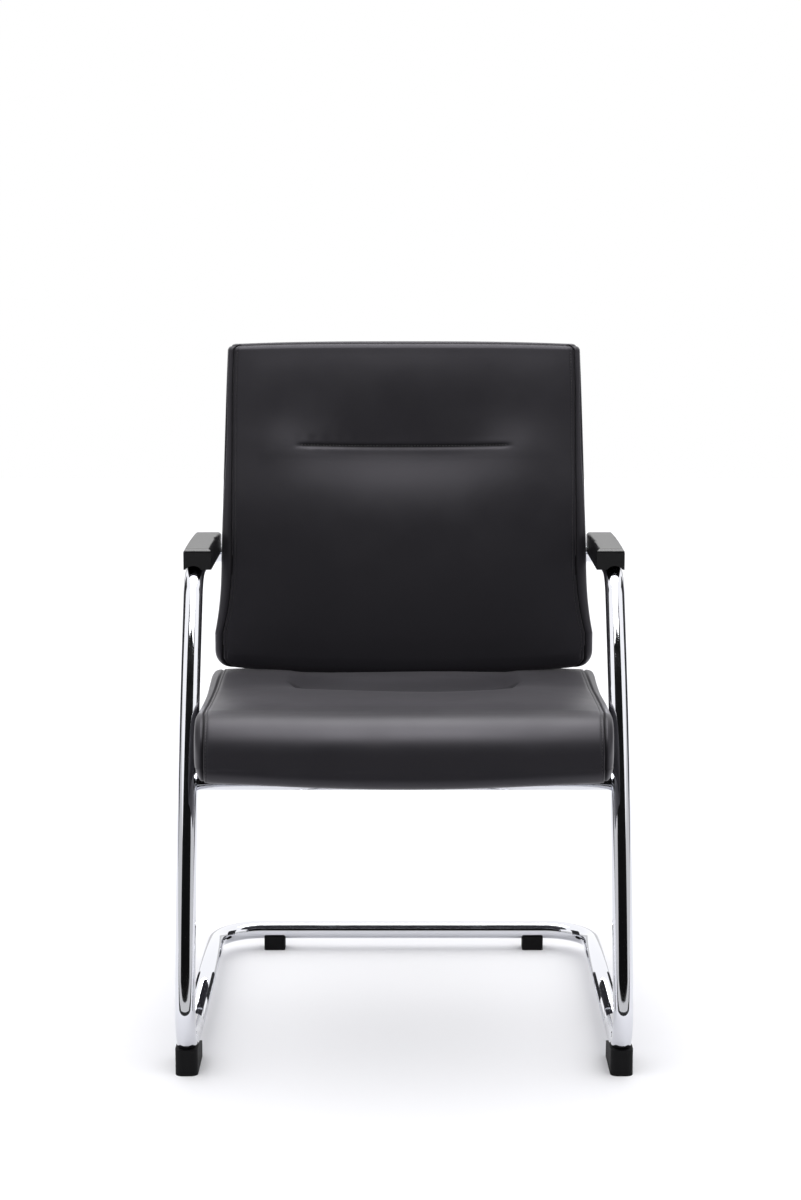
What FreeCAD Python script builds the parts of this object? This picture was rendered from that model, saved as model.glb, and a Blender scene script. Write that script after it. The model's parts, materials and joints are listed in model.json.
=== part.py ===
import FreeCAD, Part
import math
import os
import Sketcher
from FreeCAD import Placement, Rotation, Vector

# Cantilever conference chair. Millimetres and degrees, +Z up, the chair faces -Y.
# The origin is on the floor, in the middle of the chair's width and depth.

SIZES = {
    # Chromed tube of the frame
    "tube_diameter": 25.0,
    "tube_wall": 2.0,
    "track_half_width": 269.0,
    "toe_line": -246.0,
    "runner_height": 27.0,
    "toe_bend_radius": 50.0,
    "lean_low": 11.0,
    "lean_high": 29.0,
    "bow_radius": 1500.0,
    "arm_rise": 242.0,
    "arm_bend_radius": 50.0,
    "rail_bend_radius": 50.0,
    "rail_reach": 129.0,
    "base_depth": 545.0,
    "floor_bend_radius": 66.0,
    "joint_setback": 127.0,
    "joint_gap": 0.4,
    "spigot_length": 70.0,
    "spigot_wall": 2.0,
    "plug_head": 3.0,
    "plug_depth": 14.0,
    # Cross tube under the seat and the plates welded on it
    "cross_tube_diameter": 22.0,
    "cross_tube_wall": 1.5,
    "cross_tube_height": 355.0,
    "plate_thickness": 4.0,
    "plate_width": 50.0,
    "plate_length": 84.0,
    "plate_spread": 150.0,
    "plate_bolt_reach": 28.0,
    "plate_corner": 8.0,
    # Feet
    "toe_foot_front": 2.0,
    "toe_foot_length": 74.0,
    "toe_foot_width": 28.0,
    "toe_foot_nose": 33.0,
    "toe_foot_heel": 21.0,
    "toe_foot_brow": 25.0,
    "toe_foot_round": 9.0,
    "rear_foot_inset": 16.0,
    "rear_foot_width": 30.0,
    "rear_foot_depth": 26.0,
    "rear_foot_cradle": 20.0,
    "rear_foot_round": 3.0,
    "peg_diameter": 8.0,
    "peg_reach": 6.0,
    # Arm pads
    "pad_start": 195.0,
    "pad_length": 181.0,
    "pad_inner_overhang": 10.5,
    "pad_cover": 21.5,
    "pad_arch_radius": 2400.0,
    "pad_skirt": 7.5,
    "pad_round": 5.0,
    "pad_screw_diameter": 4.5,
    "pad_screw_head": 9.0,
    "pad_screw_head_height": 3.0,
    "pad_screw_bite": 12.0,
    "pad_screw_start": 252.0,
    "pad_screw_pitch": 95.0,
    # Seat cushion, measured from the cross tube along and square to the tilted seat
    "seat_tilt": 3.0,
    "seat_side_gap": 17.0,
    "seat_taper": 0.73,
    "seat_front": 147.0,
    "seat_front_bow": 30.0,
    "seat_rear": 306.0,
    "seat_thickness": 83.0,
    "seat_crown": 3.0,
    "seat_waterfall": 60.0,
    "seat_lip_radius": 17.0,
    "seat_rear_radius": 20.0,
    "seat_heel_radius": 12.0,
    "seat_side_roll": 24.0,
    "seat_top_roll": 34.0,
    "seat_under_roll": 40.0,
    "seat_cheek": 11.0,
    "seat_tuck_half_span": 145.0,
    "seat_tuck_front": 91.0,
    "seat_tuck_depth": 87.0,
    "tuck_radius": 4.0,
    "tuck_bite": 2.2,
    "leather": 3.0,
    "cover_fit": 0.3,
    "cheek_least": 4.0,
    "cheek_round_share": 0.8,
    # Boards, cover under the seat and angle irons
    "board_thickness": 12.0,
    "seat_board_inset": 32.0,
    "seat_board_front": 98.0,
    "seat_board_rear": 286.0,
    "seat_board_corner": 40.0,
    "under_cover_margin": 22.0,
    "iron_thickness": 6.0,
    "iron_width": 50.0,
    "iron_spread": 110.0,
    "iron_front": 182.0,
    "iron_top": 186.0,
    "iron_bend": 14.0,
    "iron_corner": 12.0,
    "iron_seat_bolt": 205.0,
    "iron_seat_pitch": 50.0,
    "iron_back_bolt": 140.0,
    "iron_back_pitch": 28.0,
    # Backrest cushion, in the same tilted directions
    "back_bottom": 104.0,
    "back_top": 546.0,
    "back_front": 245.0,
    "back_rear": 307.0,
    "back_bend_start": 270.0,
    "back_bend_radius": 900.0,
    "lumbar_height": 180.0,
    "lumbar_radius": 1200.0,
    "back_crown": 8.0,
    "back_side_gap": 24.0,
    "back_narrowing": 8.0,
    "back_flare": 9.0,
    "back_flare_start": 255.0,
    "back_flare_end": 150.0,
    "back_bottom_rise": 24.0,
    "back_bottom_roll": 16.0,
    "back_top_drop": 14.0,
    "back_top_roll": 9.0,
    "back_low_corner": 18.0,
    "back_top_corner": 14.0,
    "back_front_corner": 12.0,
    "back_rear_corner": 24.0,
    "back_cheek": 7.0,
    "back_low_cheek": 11.0,
    "back_tuck_height": 408.0,
    "back_tuck_half_span": 141.0,
    "back_board_inset": 19.0,
    "back_board_top": 527.0,
    "back_board_bottom": 122.0,
    "back_board_corner": 35.0,
    "rear_panel_thickness": 5.0,
    "rear_panel_bottom": 109.0,
    "rear_panel_top": 542.0,
    "rear_panel_low_margin": 14.0,
    "rear_panel_top_margin": 10.0,
    "rear_panel_corner": 25.0,
    # Fasteners
    "bolt_diameter": 6.0,
    "bolt_hole_clearance": 0.5,
    "bolt_head_width": 10.0,
    "bolt_head_height": 4.0,
    "washer_diameter": 14.0,
    "washer_thickness": 1.2,
    "nut_flange_diameter": 19.0,
    "nut_flange_thickness": 1.5,
    "nut_barrel_diameter": 8.0,
    "nut_barrel_length": 10.0,
    "thread_end": 1.0,
    "rail_spacer_length": 13.0,
    "rail_spacer_diameter": 18.0,
    "rail_bolt_inset": 20.0,
    "rail_bolt_pitch": 38.0,
}

# Widths that follow the track, and the arm's height above the cross tube
WORKED_OUT = {
    "arm_height": "=cross_tube_height + arm_rise",
    "rail_end": "=track_half_width - rail_reach",
    "rail_bolt_first": "=rail_end + rail_bolt_inset",
    "rear_foot_spread": "=track_half_width - floor_bend_radius - rear_foot_inset",
    "seat_half_width": "=track_half_width - seat_side_gap",
    "seat_seam": "=seat_half_width - seat_cheek",
    "seat_board_half_width": "=seat_half_width - seat_board_inset",
    "back_arm_half_width": "=track_half_width - back_side_gap",
    "back_top_half_width": "=back_arm_half_width - back_narrowing",
    "back_low_half_width": "=back_arm_half_width + back_flare",
    "back_seam": "=back_top_half_width - back_cheek",
    "back_seam_low": "=back_low_half_width - back_low_cheek",
    "back_board_half_width": "=back_seam - back_board_inset",
    "rear_panel_low_half_width": "=back_low_half_width - rear_panel_low_margin",
    "rear_panel_top_half_width": "=back_top_half_width - rear_panel_top_margin",
}

SIDES = {"left": -1, "right": 1}

doc = FreeCAD.newDocument("conference_chair")
sheet = doc.addObject("Spreadsheet::Sheet", "sizes")
for row, (alias, content) in enumerate({**SIZES, **WORKED_OUT}.items(), start=1):
    sheet.set(f"A{row}", alias.replace("_", " "))
    sheet.set(f"B{row}", str(content))
    sheet.setAlias(f"B{row}", alias)
doc.recompute()

nodes = []


def size(alias):
    """One dimension, read from the spreadsheet."""
    return float(sheet.get(alias))


def node(feature, label):
    """Mark a feature as a finished piece of the chair."""
    feature.Label = label
    nodes.append(feature)
    return feature


def polar(centre, radius, degrees):
    """Point of the YZ plane at an angle from the forward direction, turning upwards."""
    turn = math.radians(degrees)
    return centre + Vector(0, -radius * math.cos(turn), radius * math.sin(turn))


def primitive(kind, name, placement, **sizes):
    """Part primitive whose dimensions follow expressions."""
    feature = doc.addObject(f"Part::{kind}", name)
    for dimension, expression in sizes.items():
        feature.setExpression(dimension, expression)
    feature.Placement = placement
    return feature


def boolean(kind, name, base, tool):
    """Part boolean of two features."""
    feature = doc.addObject(f"Part::{kind}", name)
    feature.Base = base
    feature.Tool = tool
    return feature


def fuse(name, features):
    """Union of several features."""
    feature = doc.addObject("Part::MultiFuse", name)
    feature.Shapes = features
    return feature


def group(features, label):
    """Like pieces that share one node."""
    feature = doc.addObject("Part::Compound", label)
    feature.Links = features
    return node(feature, label)


def add_body(name, placement):
    """Empty PartDesign body at a placement."""
    body = doc.addObject("PartDesign::Body", name)
    body.Placement = placement
    return body


def add_sketch(body, name, role, lift=None):
    """Sketch on one of the body's own origin planes, lifted along its normal."""
    plane = next(item for item in body.Origin.OriginFeatures if item.Role == role)
    sketch = body.newObject("Sketcher::SketchObject", name)
    sketch.AttachmentSupport = [(plane, "")]
    sketch.MapMode = "FlatFace"
    if lift:
        sketch.setExpression("AttachmentOffset.Base.z", lift)
    return sketch


def constrain(sketch, expression, kind, *place):
    """Dimension of a sketch that follows an expression."""
    index = sketch.addConstraint(Sketcher.Constraint(kind, *place, float(sketch.evalExpression(expression))))
    sketch.setExpression(f"Constraints[{index}]", expression)


def pin(sketch, geometry, position, across, up):
    """Hold one point of a sketch at a pair of expressions."""
    constrain(sketch, across, "DistanceX", -1, 1, geometry, position)
    constrain(sketch, up, "DistanceY", -1, 1, geometry, position)


def arc_through(start, finish, radius, turn):
    """Arc under a half circle between two points, with its end numbers in drawing order."""
    chord = finish - start
    left = Vector(-chord.y, chord.x, 0).normalize()
    rise = math.sqrt(radius**2 - (chord.Length / 2) ** 2)
    centre = (start + finish) * 0.5 + left * rise * turn
    angles = [math.atan2(point.y - centre.y, point.x - centre.x) for point in (start, finish)]
    circle = Part.Circle(centre, Vector(0, 0, 1), radius)
    if turn > 0:
        return Part.ArcOfCircle(circle, angles[0], angles[1]), 1, 2
    return Part.ArcOfCircle(circle, angles[1], angles[0]), 2, 1


def outline(sketch, corners, arcs=None):
    """Closed outline with every corner held by expressions; arcs gives an edge's radius and turn."""
    arcs = arcs or {}
    points = [Vector(*(float(sketch.evalExpression(text)) for text in corner), 0) for corner in corners]
    edges = []
    for number, start in enumerate(points):
        finish = points[(number + 1) % len(points)]
        if number in arcs:
            radius, turn = arcs[number]
            shape, first, last = arc_through(start, finish, float(sketch.evalExpression(radius)), turn)
        else:
            shape, first, last = Part.LineSegment(start, finish), 1, 2
        edges.append((sketch.addGeometry(shape, False), first, last))
    for number, (edge, first, last) in enumerate(edges):
        follower = edges[(number + 1) % len(edges)]
        sketch.addConstraint(Sketcher.Constraint("Coincident", edge, last, follower[0], follower[1]))
    for (edge, first, last), corner in zip(edges, corners):
        pin(sketch, edge, first, *corner)
    for number, (radius, turn) in arcs.items():
        constrain(sketch, radius, "Radius", edges[number][0])


def circle(sketch, across, up, diameter):
    """Circle of a sketch, held by expressions."""
    centre = Vector(float(sketch.evalExpression(across)), float(sketch.evalExpression(up)), 0)
    radius = float(sketch.evalExpression(diameter)) / 2
    edge = sketch.addGeometry(Part.Circle(centre, Vector(0, 0, 1), radius), False)
    pin(sketch, edge, 3, across, up)
    constrain(sketch, diameter, "Diameter", edge)


def pad(body, sketch, length, second=None):
    """Pad of a sketch, evenly to both sides or by two lengths."""
    feature = body.newObject("PartDesign::Pad", "pad")
    feature.Profile = sketch
    feature.SideType = "Two sides" if second else "Symmetric"
    feature.setExpression("Length", length)
    if second:
        feature.setExpression("Length2", second)
    return feature


def raise_pad(body, sketch, length):
    """Pad of a sketch to its own side only."""
    feature = body.newObject("PartDesign::Pad", "pad")
    feature.Profile = sketch
    feature.setExpression("Length", length)
    return feature


def drill(body, sketch):
    """Pocket of a sketch right through the body."""
    feature = body.newObject("PartDesign::Pocket", "pocket")
    feature.Profile = sketch
    feature.SideType = "Symmetric"
    feature.Type = "ThroughAll"
    return feature


def round_edges(body, base, radius, choose):
    """Fillet of those edges of a feature that a test picks."""
    doc.recompute()
    names = [f"Edge{number}" for number, edge in enumerate(base.Shape.Edges, start=1) if choose(edge)]
    feature = body.newObject("PartDesign::Fillet", "fillet")
    feature.Base = (base, names)
    feature.setExpression("Radius", radius)
    return feature


def runs_along(edge, axis):
    """Whether an edge is straight and parallel to an axis."""
    if edge.Curve.TypeId != "Part::GeomLine":
        return False
    return abs(abs(edge.tangentAt(edge.FirstParameter).dot(axis)) - 1) < 1e-6


# Routes of the frame's tubes

toe_y = size("toe_line")
runner_z = size("runner_height")
arm_z = size("arm_height")
rear_y = toe_y + size("base_depth")
joint_y = toe_y + size("joint_setback")
tube_radius = size("tube_diameter") / 2

toe_centre = Vector(0, toe_y + size("toe_bend_radius"), runner_z + size("toe_bend_radius"))
bow_foot = polar(toe_centre, size("toe_bend_radius"), size("lean_low"))
bow_centre = bow_foot * 2 - polar(bow_foot, size("bow_radius"), size("lean_low"))
bow_head = polar(bow_centre, size("bow_radius"), size("lean_high"))
arm_bend_foot_z = arm_z - size("arm_bend_radius") * (1 - math.sin(math.radians(size("lean_high"))))
upright_run = (arm_bend_foot_z - bow_head.z) / math.cos(math.radians(size("lean_high")))
upright_way = Vector(0, math.sin(math.radians(size("lean_high"))), math.cos(math.radians(size("lean_high"))))
arm_bend_foot = bow_head + upright_way * upright_run
arm_centre = arm_bend_foot * 2 - polar(arm_bend_foot, size("arm_bend_radius"), size("lean_high"))

# Tilted directions of the seat and back, from the middle of the cross tube

cross_lean = math.asin((size("cross_tube_height") - bow_centre.z) / size("bow_radius"))
cross_y = polar(bow_centre, size("bow_radius"), math.degrees(cross_lean)).y
cross_middle = Vector(0, cross_y, size("cross_tube_height"))
tilted = Placement(cross_middle, Rotation(Vector(-1, 0, 0), size("seat_tilt")))
seat_base = size("cross_tube_diameter") / 2 + size("plate_thickness")
tilt = math.radians(size("seat_tilt"))
rail_depth = size("back_rear") + size("rear_panel_thickness") + size("rail_spacer_length") + tube_radius
rail_lift = (size("arm_rise") + rail_depth * math.sin(tilt)) / math.cos(tilt)
rail_y = tilted.multVec(Vector(0, rail_depth, rail_lift)).y

FACING_REAR = Rotation(Vector(1, 0, 0), -90)
FACING_FRONT = Rotation(Vector(1, 0, 0), 90)
FACING_RIGHT = Rotation(Vector(0, 1, 0), 90)


def upright(placement):
    """Rotation-free placement at a point."""
    return Placement(placement, Rotation())


def on_seat(across, along, up, rotation=Rotation()):
    """Placement at a point given in the tilted directions."""
    return tilted.multiply(Placement(Vector(across, along, up), rotation))


def line(start, finish):
    """Straight run of a tube's route."""
    return Part.LineSegment(start, finish).toShape()


def bend(start, middle, finish):
    """Bend of a tube's route."""
    return Part.Arc(start, middle, finish).toShape()


def side_route(side):
    """Route of one side bow, from the runner joint round the toe and the arm to behind the backrest."""
    shift = Vector(side * size("track_half_width"), 0, 0)
    low = size("lean_low")
    high = size("lean_high")
    quarter = math.sqrt(0.5)
    inset = size("rail_bend_radius")
    start = Vector(0, joint_y - size("joint_gap") / 2, runner_z)
    toe = polar(toe_centre, size("toe_bend_radius"), -90)
    toe_middle = polar(toe_centre, size("toe_bend_radius"), (low - 90) / 2)
    bow_middle = polar(bow_centre, size("bow_radius"), (low + high) / 2)
    arm_middle = polar(arm_centre, size("arm_bend_radius"), (high + 90) / 2)
    arm = polar(arm_centre, size("arm_bend_radius"), 90)
    corner = Vector(0, rail_y - inset, arm_z)
    corner_middle = corner + Vector(side * inset * (quarter - 1), inset * quarter, 0)
    rail = corner + Vector(-side * inset, inset, 0)
    end = Vector(side * (size("rail_end") - size("track_half_width")), rail_y, arm_z)
    edges = [
        line(start, toe),
        bend(toe, toe_middle, bow_foot),
        bend(bow_foot, bow_middle, bow_head),
        line(bow_head, arm_bend_foot),
        bend(arm_bend_foot, arm_middle, arm),
        line(arm, corner),
        bend(corner, corner_middle, rail),
        line(rail, end),
    ]
    for edge in edges:
        edge.translate(shift)
    return edges


def floor_route():
    """Route of the rear floor bow, from one runner joint round the rear bar to the other."""
    half = size("track_half_width")
    inset = size("floor_bend_radius")
    diagonal = inset * (1 - math.sqrt(0.5))
    start = joint_y + size("joint_gap") / 2
    points = [Vector(-half, start, runner_z), Vector(-half, rear_y - inset, runner_z)]
    points += [Vector(-half + diagonal, rear_y - diagonal, runner_z), Vector(inset - half, rear_y, runner_z)]
    mirrored = [Vector(-point.x, point.y, point.z) for point in reversed(points)]
    return [
        line(points[0], points[1]),
        bend(points[1], points[2], points[3]),
        line(points[3], mirrored[0]),
        bend(mirrored[0], mirrored[1], mirrored[2]),
        line(mirrored[2], mirrored[3]),
    ]


def swept(name, edges, radius, placement):
    """Solid rod along a route."""
    route = doc.addObject("Part::Feature", f"{name}_route")
    route.Shape = Part.Wire(edges)
    ring = primitive("Circle", f"{name}_ring", placement, Radius=radius)
    rod = doc.addObject("Part::Sweep", name)
    rod.Sections = [ring]
    rod.Spine = (route, [f"Edge{number}" for number in range(1, len(edges) + 1)])
    rod.Solid = True
    return rod


OUTER_RADIUS = "sizes.tube_diameter / 2"
INNER_RADIUS = "sizes.tube_diameter / 2 - sizes.tube_wall"
BOLT_HOLE = "sizes.bolt_diameter + sizes.bolt_hole_clearance"


def hole(name, placement, diameter, depth):
    """Cylinder that a hole is cut with, from the placement along its own axis."""
    return primitive("Cylinder", name, placement, Radius=f"({diameter}) / 2", Height=depth)


def side_bow(name, side):
    """One bent tube with its holes for arm pad screws, rail bolts and the toe foot's peg."""
    edges = side_route(side)
    start = Placement(edges[0].Vertexes[0].Point, FACING_FRONT)
    outer = swept(f"{name}_outer", edges, OUTER_RADIUS, start)
    tools = [swept(f"{name}_bore", edges, INNER_RADIUS, start)]
    for place in pad_screw_places(side):
        entry = upright(place)
        tools.append(hole(f"{name}_screw_hole", entry, "sizes.pad_screw_diameter", "sizes.tube_diameter"))
    for across in rail_bolt_places(side):
        place = on_seat(across, rail_depth + tube_radius, rail_lift, FACING_FRONT)
        tools.append(hole(f"{name}_bolt_hole", place, BOLT_HOLE, "sizes.tube_diameter"))
    tools.append(hole(f"{name}_peg_hole", toe_peg_place(side), "sizes.peg_diameter", OUTER_RADIUS))
    node(boolean("Cut", name, outer, fuse(f"{name}_tools", tools)), f"side_bow_{name}")
    return outer


def pad_screw_places(side):
    """Undersides of the arm rail where the pad's screws enter."""
    x = side * size("track_half_width")
    first = toe_y + size("pad_screw_start")
    return [Vector(x, y, arm_z - tube_radius) for y in (first, first + size("pad_screw_pitch"))]


def rail_bolt_places(side):
    """Distances from the middle of the rail's two bolts."""
    first = size("rail_bolt_first")
    return [side * first, side * (first + size("rail_bolt_pitch"))]


def toe_peg_place(side):
    """Foot of the toe foot's peg, under the straight runner."""
    depth = toe_y + size("toe_foot_front") + size("toe_foot_length") - size("peg_diameter")
    return upright(Vector(side * size("track_half_width"), depth, runner_z - tube_radius - size("peg_reach")))


def rear_peg_place(side):
    """Foot of a rear foot's peg, under the rear bar."""
    start = runner_z - tube_radius - size("peg_reach")
    return upright(Vector(side * size("rear_foot_spread"), rear_y, start))


PEG_HEIGHT = "sizes.peg_reach * 2 + sizes.tube_wall"


def rear_floor_bow():
    """Bent tube of both runners' rear parts and the rear bar, with its peg holes."""
    edges = floor_route()
    start = Placement(edges[0].Vertexes[0].Point, FACING_REAR)
    outer = swept("floor_outer", edges, OUTER_RADIUS, start)
    tools = [swept("floor_bore", edges, INNER_RADIUS, start)]
    for side in SIDES.values():
        place = rear_peg_place(side)
        tools.append(hole("floor_peg_hole", place, "sizes.peg_diameter", "sizes.tube_diameter / 2"))
    node(boolean("Cut", "rear_floor_bow", outer, fuse("floor_tools", tools)), "rear_floor_bow")
    return outer


def runner_spigots():
    """Short inner tubes that join the side bows to the rear floor bow."""
    pieces = []
    for name, side in SIDES.items():
        start = Vector(side * size("track_half_width"), joint_y - size("spigot_length") / 2, runner_z)
        place = Placement(start, FACING_REAR)
        outer = hole(f"{name}_spigot_outer", place, f"({INNER_RADIUS}) * 2", "sizes.spigot_length")
        bore = f"({INNER_RADIUS} - sizes.spigot_wall) * 2"
        inner = hole(f"{name}_spigot_bore", place, bore, "sizes.spigot_length")
        pieces.append(boolean("Cut", f"{name}_spigot", outer, inner))
    group(pieces, "runner_spigots")


def rail_plug(name, side):
    """Plastic plug that closes the open end of an arm rail."""
    end = Vector(side * size("rail_end"), rail_y, arm_z)
    inward = Rotation(Vector(0, 1, 0), -90 * side)
    head = primitive("Cylinder", f"{name}_plug_head", Placement(end, inward), Radius=OUTER_RADIUS,
                     Height="sizes.plug_head")
    outward = Rotation(Vector(0, 1, 0), 90 * side)
    stem = primitive("Cylinder", f"{name}_plug_stem", Placement(end, outward), Radius=INNER_RADIUS,
                     Height="sizes.plug_depth")
    node(fuse(f"{name}_plug", [head, stem]), f"rail_plug_{name}")


def cross_tube(side_rods):
    """Tube under the seat, its ends coped to the two uprights."""
    place = Placement(Vector(-size("track_half_width"), cross_y, size("cross_tube_height")), FACING_RIGHT)
    length = "sizes.track_half_width * 2"
    outer = primitive("Cylinder", "cross_outer", place, Radius="sizes.cross_tube_diameter / 2", Height=length)
    bore = primitive("Cylinder", "cross_bore", place,
                     Radius="sizes.cross_tube_diameter / 2 - sizes.cross_tube_wall", Height=length)
    tools = fuse("cross_tools", [bore, *side_rods])
    node(boolean("Cut", "cross_tube", outer, tools), "seat_cross_tube")


def seat_plate(name, side):
    """Plate welded on the cross tube, with two bolt holes for the seat."""
    body = add_body(f"{name}_seat_plate", on_seat(side * size("plate_spread"), 0, 0))
    sketch = add_sketch(body, "plate_outline", "XY_Plane", "sizes.cross_tube_diameter / 2")
    half = "sizes.plate_width / 2"
    reach = "sizes.plate_length / 2"
    outline(sketch, [(f"-{half}", f"-{reach}"), (half, f"-{reach}"), (half, reach), (f"-{half}", reach)])
    slab = raise_pad(body, sketch, "sizes.plate_thickness")
    round_edges(body, slab, "sizes.plate_corner", lambda edge: runs_along(edge, Vector(0, 0, 1)))
    holes = add_sketch(body, "plate_holes", "XY_Plane", "sizes.cross_tube_diameter / 2")
    for sign in ("-", ""):
        circle(holes, "0 * sizes.plate_width", f"{sign}sizes.plate_bolt_reach", BOLT_HOLE)
    drill(body, holes)
    node(body, f"seat_plate_{name}")


def toe_foot(name, side, rod):
    """Rubber toe cap: a rounded block that cradles the toe bend, with a peg into the runner."""
    body = add_body(f"{name}_toe_block", upright(Vector(side * size("track_half_width"), toe_y, 0)))
    sketch = add_sketch(body, "toe_side", "YZ_Plane")
    front = "sizes.toe_foot_front"
    rear = "sizes.toe_foot_front + sizes.toe_foot_length"
    brow = "sizes.toe_foot_front + sizes.toe_foot_brow"
    ground = "0 * sizes.toe_foot_length"
    corners = [(front, ground), (rear, ground), (rear, "sizes.toe_foot_heel")]
    corners += [(brow, "sizes.toe_foot_nose"), (front, "sizes.toe_foot_nose")]
    outline(sketch, corners)
    block = pad(body, sketch, "sizes.toe_foot_width")
    tip = size("toe_foot_front")
    round_edges(
        body, block, "sizes.toe_foot_round",
        lambda edge: runs_along(edge, Vector(0, 0, 1)) and abs(edge.CenterOfMass.y - tip) < 1,
    )
    cradle = boolean("Cut", f"{name}_toe_cradle", body, rod)
    peg = hole(f"{name}_toe_peg", toe_peg_place(side), "sizes.peg_diameter", PEG_HEIGHT)
    node(fuse(f"{name}_toe_foot", [cradle, peg]), f"toe_foot_{name}")


def rear_foot(name, side):
    """Rubber block under the rear bar, hollowed to the tube, with a peg into it."""
    body = add_body(f"{name}_rear_block", upright(Vector(side * size("rear_foot_spread"), rear_y, 0)))
    sketch = add_sketch(body, "rear_side", "YZ_Plane")
    half = "sizes.rear_foot_depth / 2"
    ground = "0 * sizes.rear_foot_depth"
    top = "sizes.rear_foot_cradle"
    outline(sketch, [(f"-{half}", ground), (half, ground), (half, top), (f"-{half}", top)])
    block = pad(body, sketch, "sizes.rear_foot_width")
    round_edges(body, block, "sizes.rear_foot_round", lambda edge: runs_along(edge, Vector(0, 0, 1)))
    channel = add_sketch(body, "rear_channel", "YZ_Plane")
    circle(channel, ground, "sizes.runner_height", "sizes.tube_diameter")
    drill(body, channel)
    peg = hole(f"{name}_rear_peg", rear_peg_place(side), "sizes.peg_diameter", PEG_HEIGHT)
    node(fuse(f"{name}_rear_foot", [body, peg]), f"rear_foot_{name}")


def arm_pad(name, side):
    """Moulded arm pad: gently arched top, skirts beside the rail, groove for the tube, two blind holes."""
    body = add_body(f"{name}_pad_body", upright(Vector(side * size("track_half_width"), toe_y, arm_z)))
    sketch = add_sketch(body, "pad_side", "YZ_Plane")
    front = "sizes.pad_start"
    rear = "sizes.pad_start + sizes.pad_length"
    top = "sizes.tube_diameter / 2 + sizes.pad_cover"
    corners = [(front, "sizes.pad_skirt"), (rear, "sizes.pad_skirt"), (rear, top), (front, top)]
    outline(sketch, corners, {2: ("sizes.pad_arch_radius", 1)})
    inner = f"{OUTER_RADIUS} + sizes.pad_inner_overhang"
    lengths = (inner, OUTER_RADIUS) if side < 0 else (OUTER_RADIUS, inner)
    block = pad(body, sketch, *lengths)
    brim = size("tube_diameter") / 2 + size("pad_cover")
    round_edges(body, block, "sizes.pad_round", lambda edge: edge.BoundBox.ZMin > brim - 1e-3)
    route = Vector(side * size("track_half_width"), toe_y, arm_z)
    groove = primitive("Cylinder", f"{name}_pad_groove", Placement(route, FACING_REAR), Radius=OUTER_RADIUS,
                       Height="sizes.pad_start + sizes.pad_length * 2")
    tools = [groove]
    for place in pad_screw_places(side):
        depth = "sizes.tube_diameter + sizes.pad_screw_bite"
        tools.append(hole(f"{name}_pad_hole", upright(place), "sizes.pad_screw_diameter", depth))
    node(boolean("Cut", f"{name}_pad", body, fuse(f"{name}_pad_tools", tools)), f"arm_pad_{name}")


def arm_pad_screws():
    """Screws driven up through the rails into the arm pads."""
    screws = []
    for side in SIDES.values():
        for place in pad_screw_places(side):
            under = upright(place - Vector(0, 0, size("pad_screw_head_height")))
            head = primitive("Cylinder", "pad_screw_head", under, Radius="sizes.pad_screw_head / 2",
                             Height="sizes.pad_screw_head_height")
            depth = "sizes.tube_diameter + sizes.pad_screw_bite"
            shank = hole("pad_screw_shank", upright(place), "sizes.pad_screw_diameter", depth)
            screws.append(fuse("pad_screw", [head, shank]))
    group(screws, "arm_pad_screws")


# Seat and back cushions: lofts through sections of lines and arcs

CHEEK_STEPS = (0.8, 0.95)
FLAT_SHARES = (1.0, 0.96, 0.88, 0.72, 0.4)
FLARE_STEPS = 5
END_STEPS = (0.0, 0.2, 0.5, 1.0, 1.6)


def roll_in(step):
    """Share of a roll's radius by which a cushion's edge has turned in."""
    return 1 - math.sqrt(1 - step**2)


def corner(along, up, from_way, to_way, radius):
    """Rounded corner at a point, entered along one direction and left along another."""
    entry = (along - from_way[0] * radius, up - from_way[1] * radius)
    leave = (along + to_way[0] * radius, up + to_way[1] * radius)
    slack = radius * (1 - math.sqrt(0.5))
    middle = (along + (to_way[0] - from_way[0]) * slack, up + (to_way[1] - from_way[1]) * slack)
    return entry, middle, leave


REARWARD, FORWARD, UPWARD, DOWNWARD = (1, 0), (-1, 0), (0, 1), (0, -1)
SEAT_RADII = ("seat_heel_radius", "seat_rear_radius", "seat_waterfall", "seat_lip_radius")
seat_open_front = size("under_cover_margin") - size("seat_board_front")
seat_open_rear = size("seat_board_rear") - size("under_cover_margin")


def seat_corners(station, roll, skin):
    """Rounded corners of the seat's side profile at one distance from its middle, lip first."""
    spread = station / size("seat_half_width")
    full = size("seat_thickness") + size("seat_crown") * (1 - spread**2)
    top = seat_base + full - size("seat_top_roll") * roll
    bottom = seat_base + size("seat_under_roll") * roll
    front = size("seat_front_bow") * spread**2 - size("seat_front") + size("seat_top_roll") * roll
    rear = size("seat_rear") - size("seat_top_roll") * roll
    share = (top - bottom) / full
    radii = [size(name) * share - skin for name in SEAT_RADII]
    return [
        corner(rear - skin, bottom + skin, REARWARD, UPWARD, radii[0]),
        corner(rear - skin, top - skin, UPWARD, FORWARD, radii[1]),
        corner(front + skin, top - skin, FORWARD, DOWNWARD, radii[2]),
        corner(front + skin, bottom + skin, DOWNWARD, REARWARD, radii[3]),
    ]


def seat_place(station):
    """Function that sets points of a side profile down at one station, where the sides taper rearwards."""
    narrowing = math.tan(math.radians(size("seat_taper"))) * station / size("seat_half_width")

    def place(along, up):
        return Vector(station - narrowing * (along + size("seat_front")), along, up)

    return place


def seat_section(station, roll, skin):
    """Closed side profile of the seat cushion."""
    corners = seat_corners(station, roll, skin)
    place = seat_place(station)
    edges = []
    for number, (entry, middle, leave) in enumerate(corners):
        follower = corners[(number + 1) % len(corners)]
        edges.append(bend(place(*entry), place(*middle), place(*leave)))
        edges.append(line(place(*leave), place(*follower[0])))
    return Part.Wire(edges)


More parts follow.
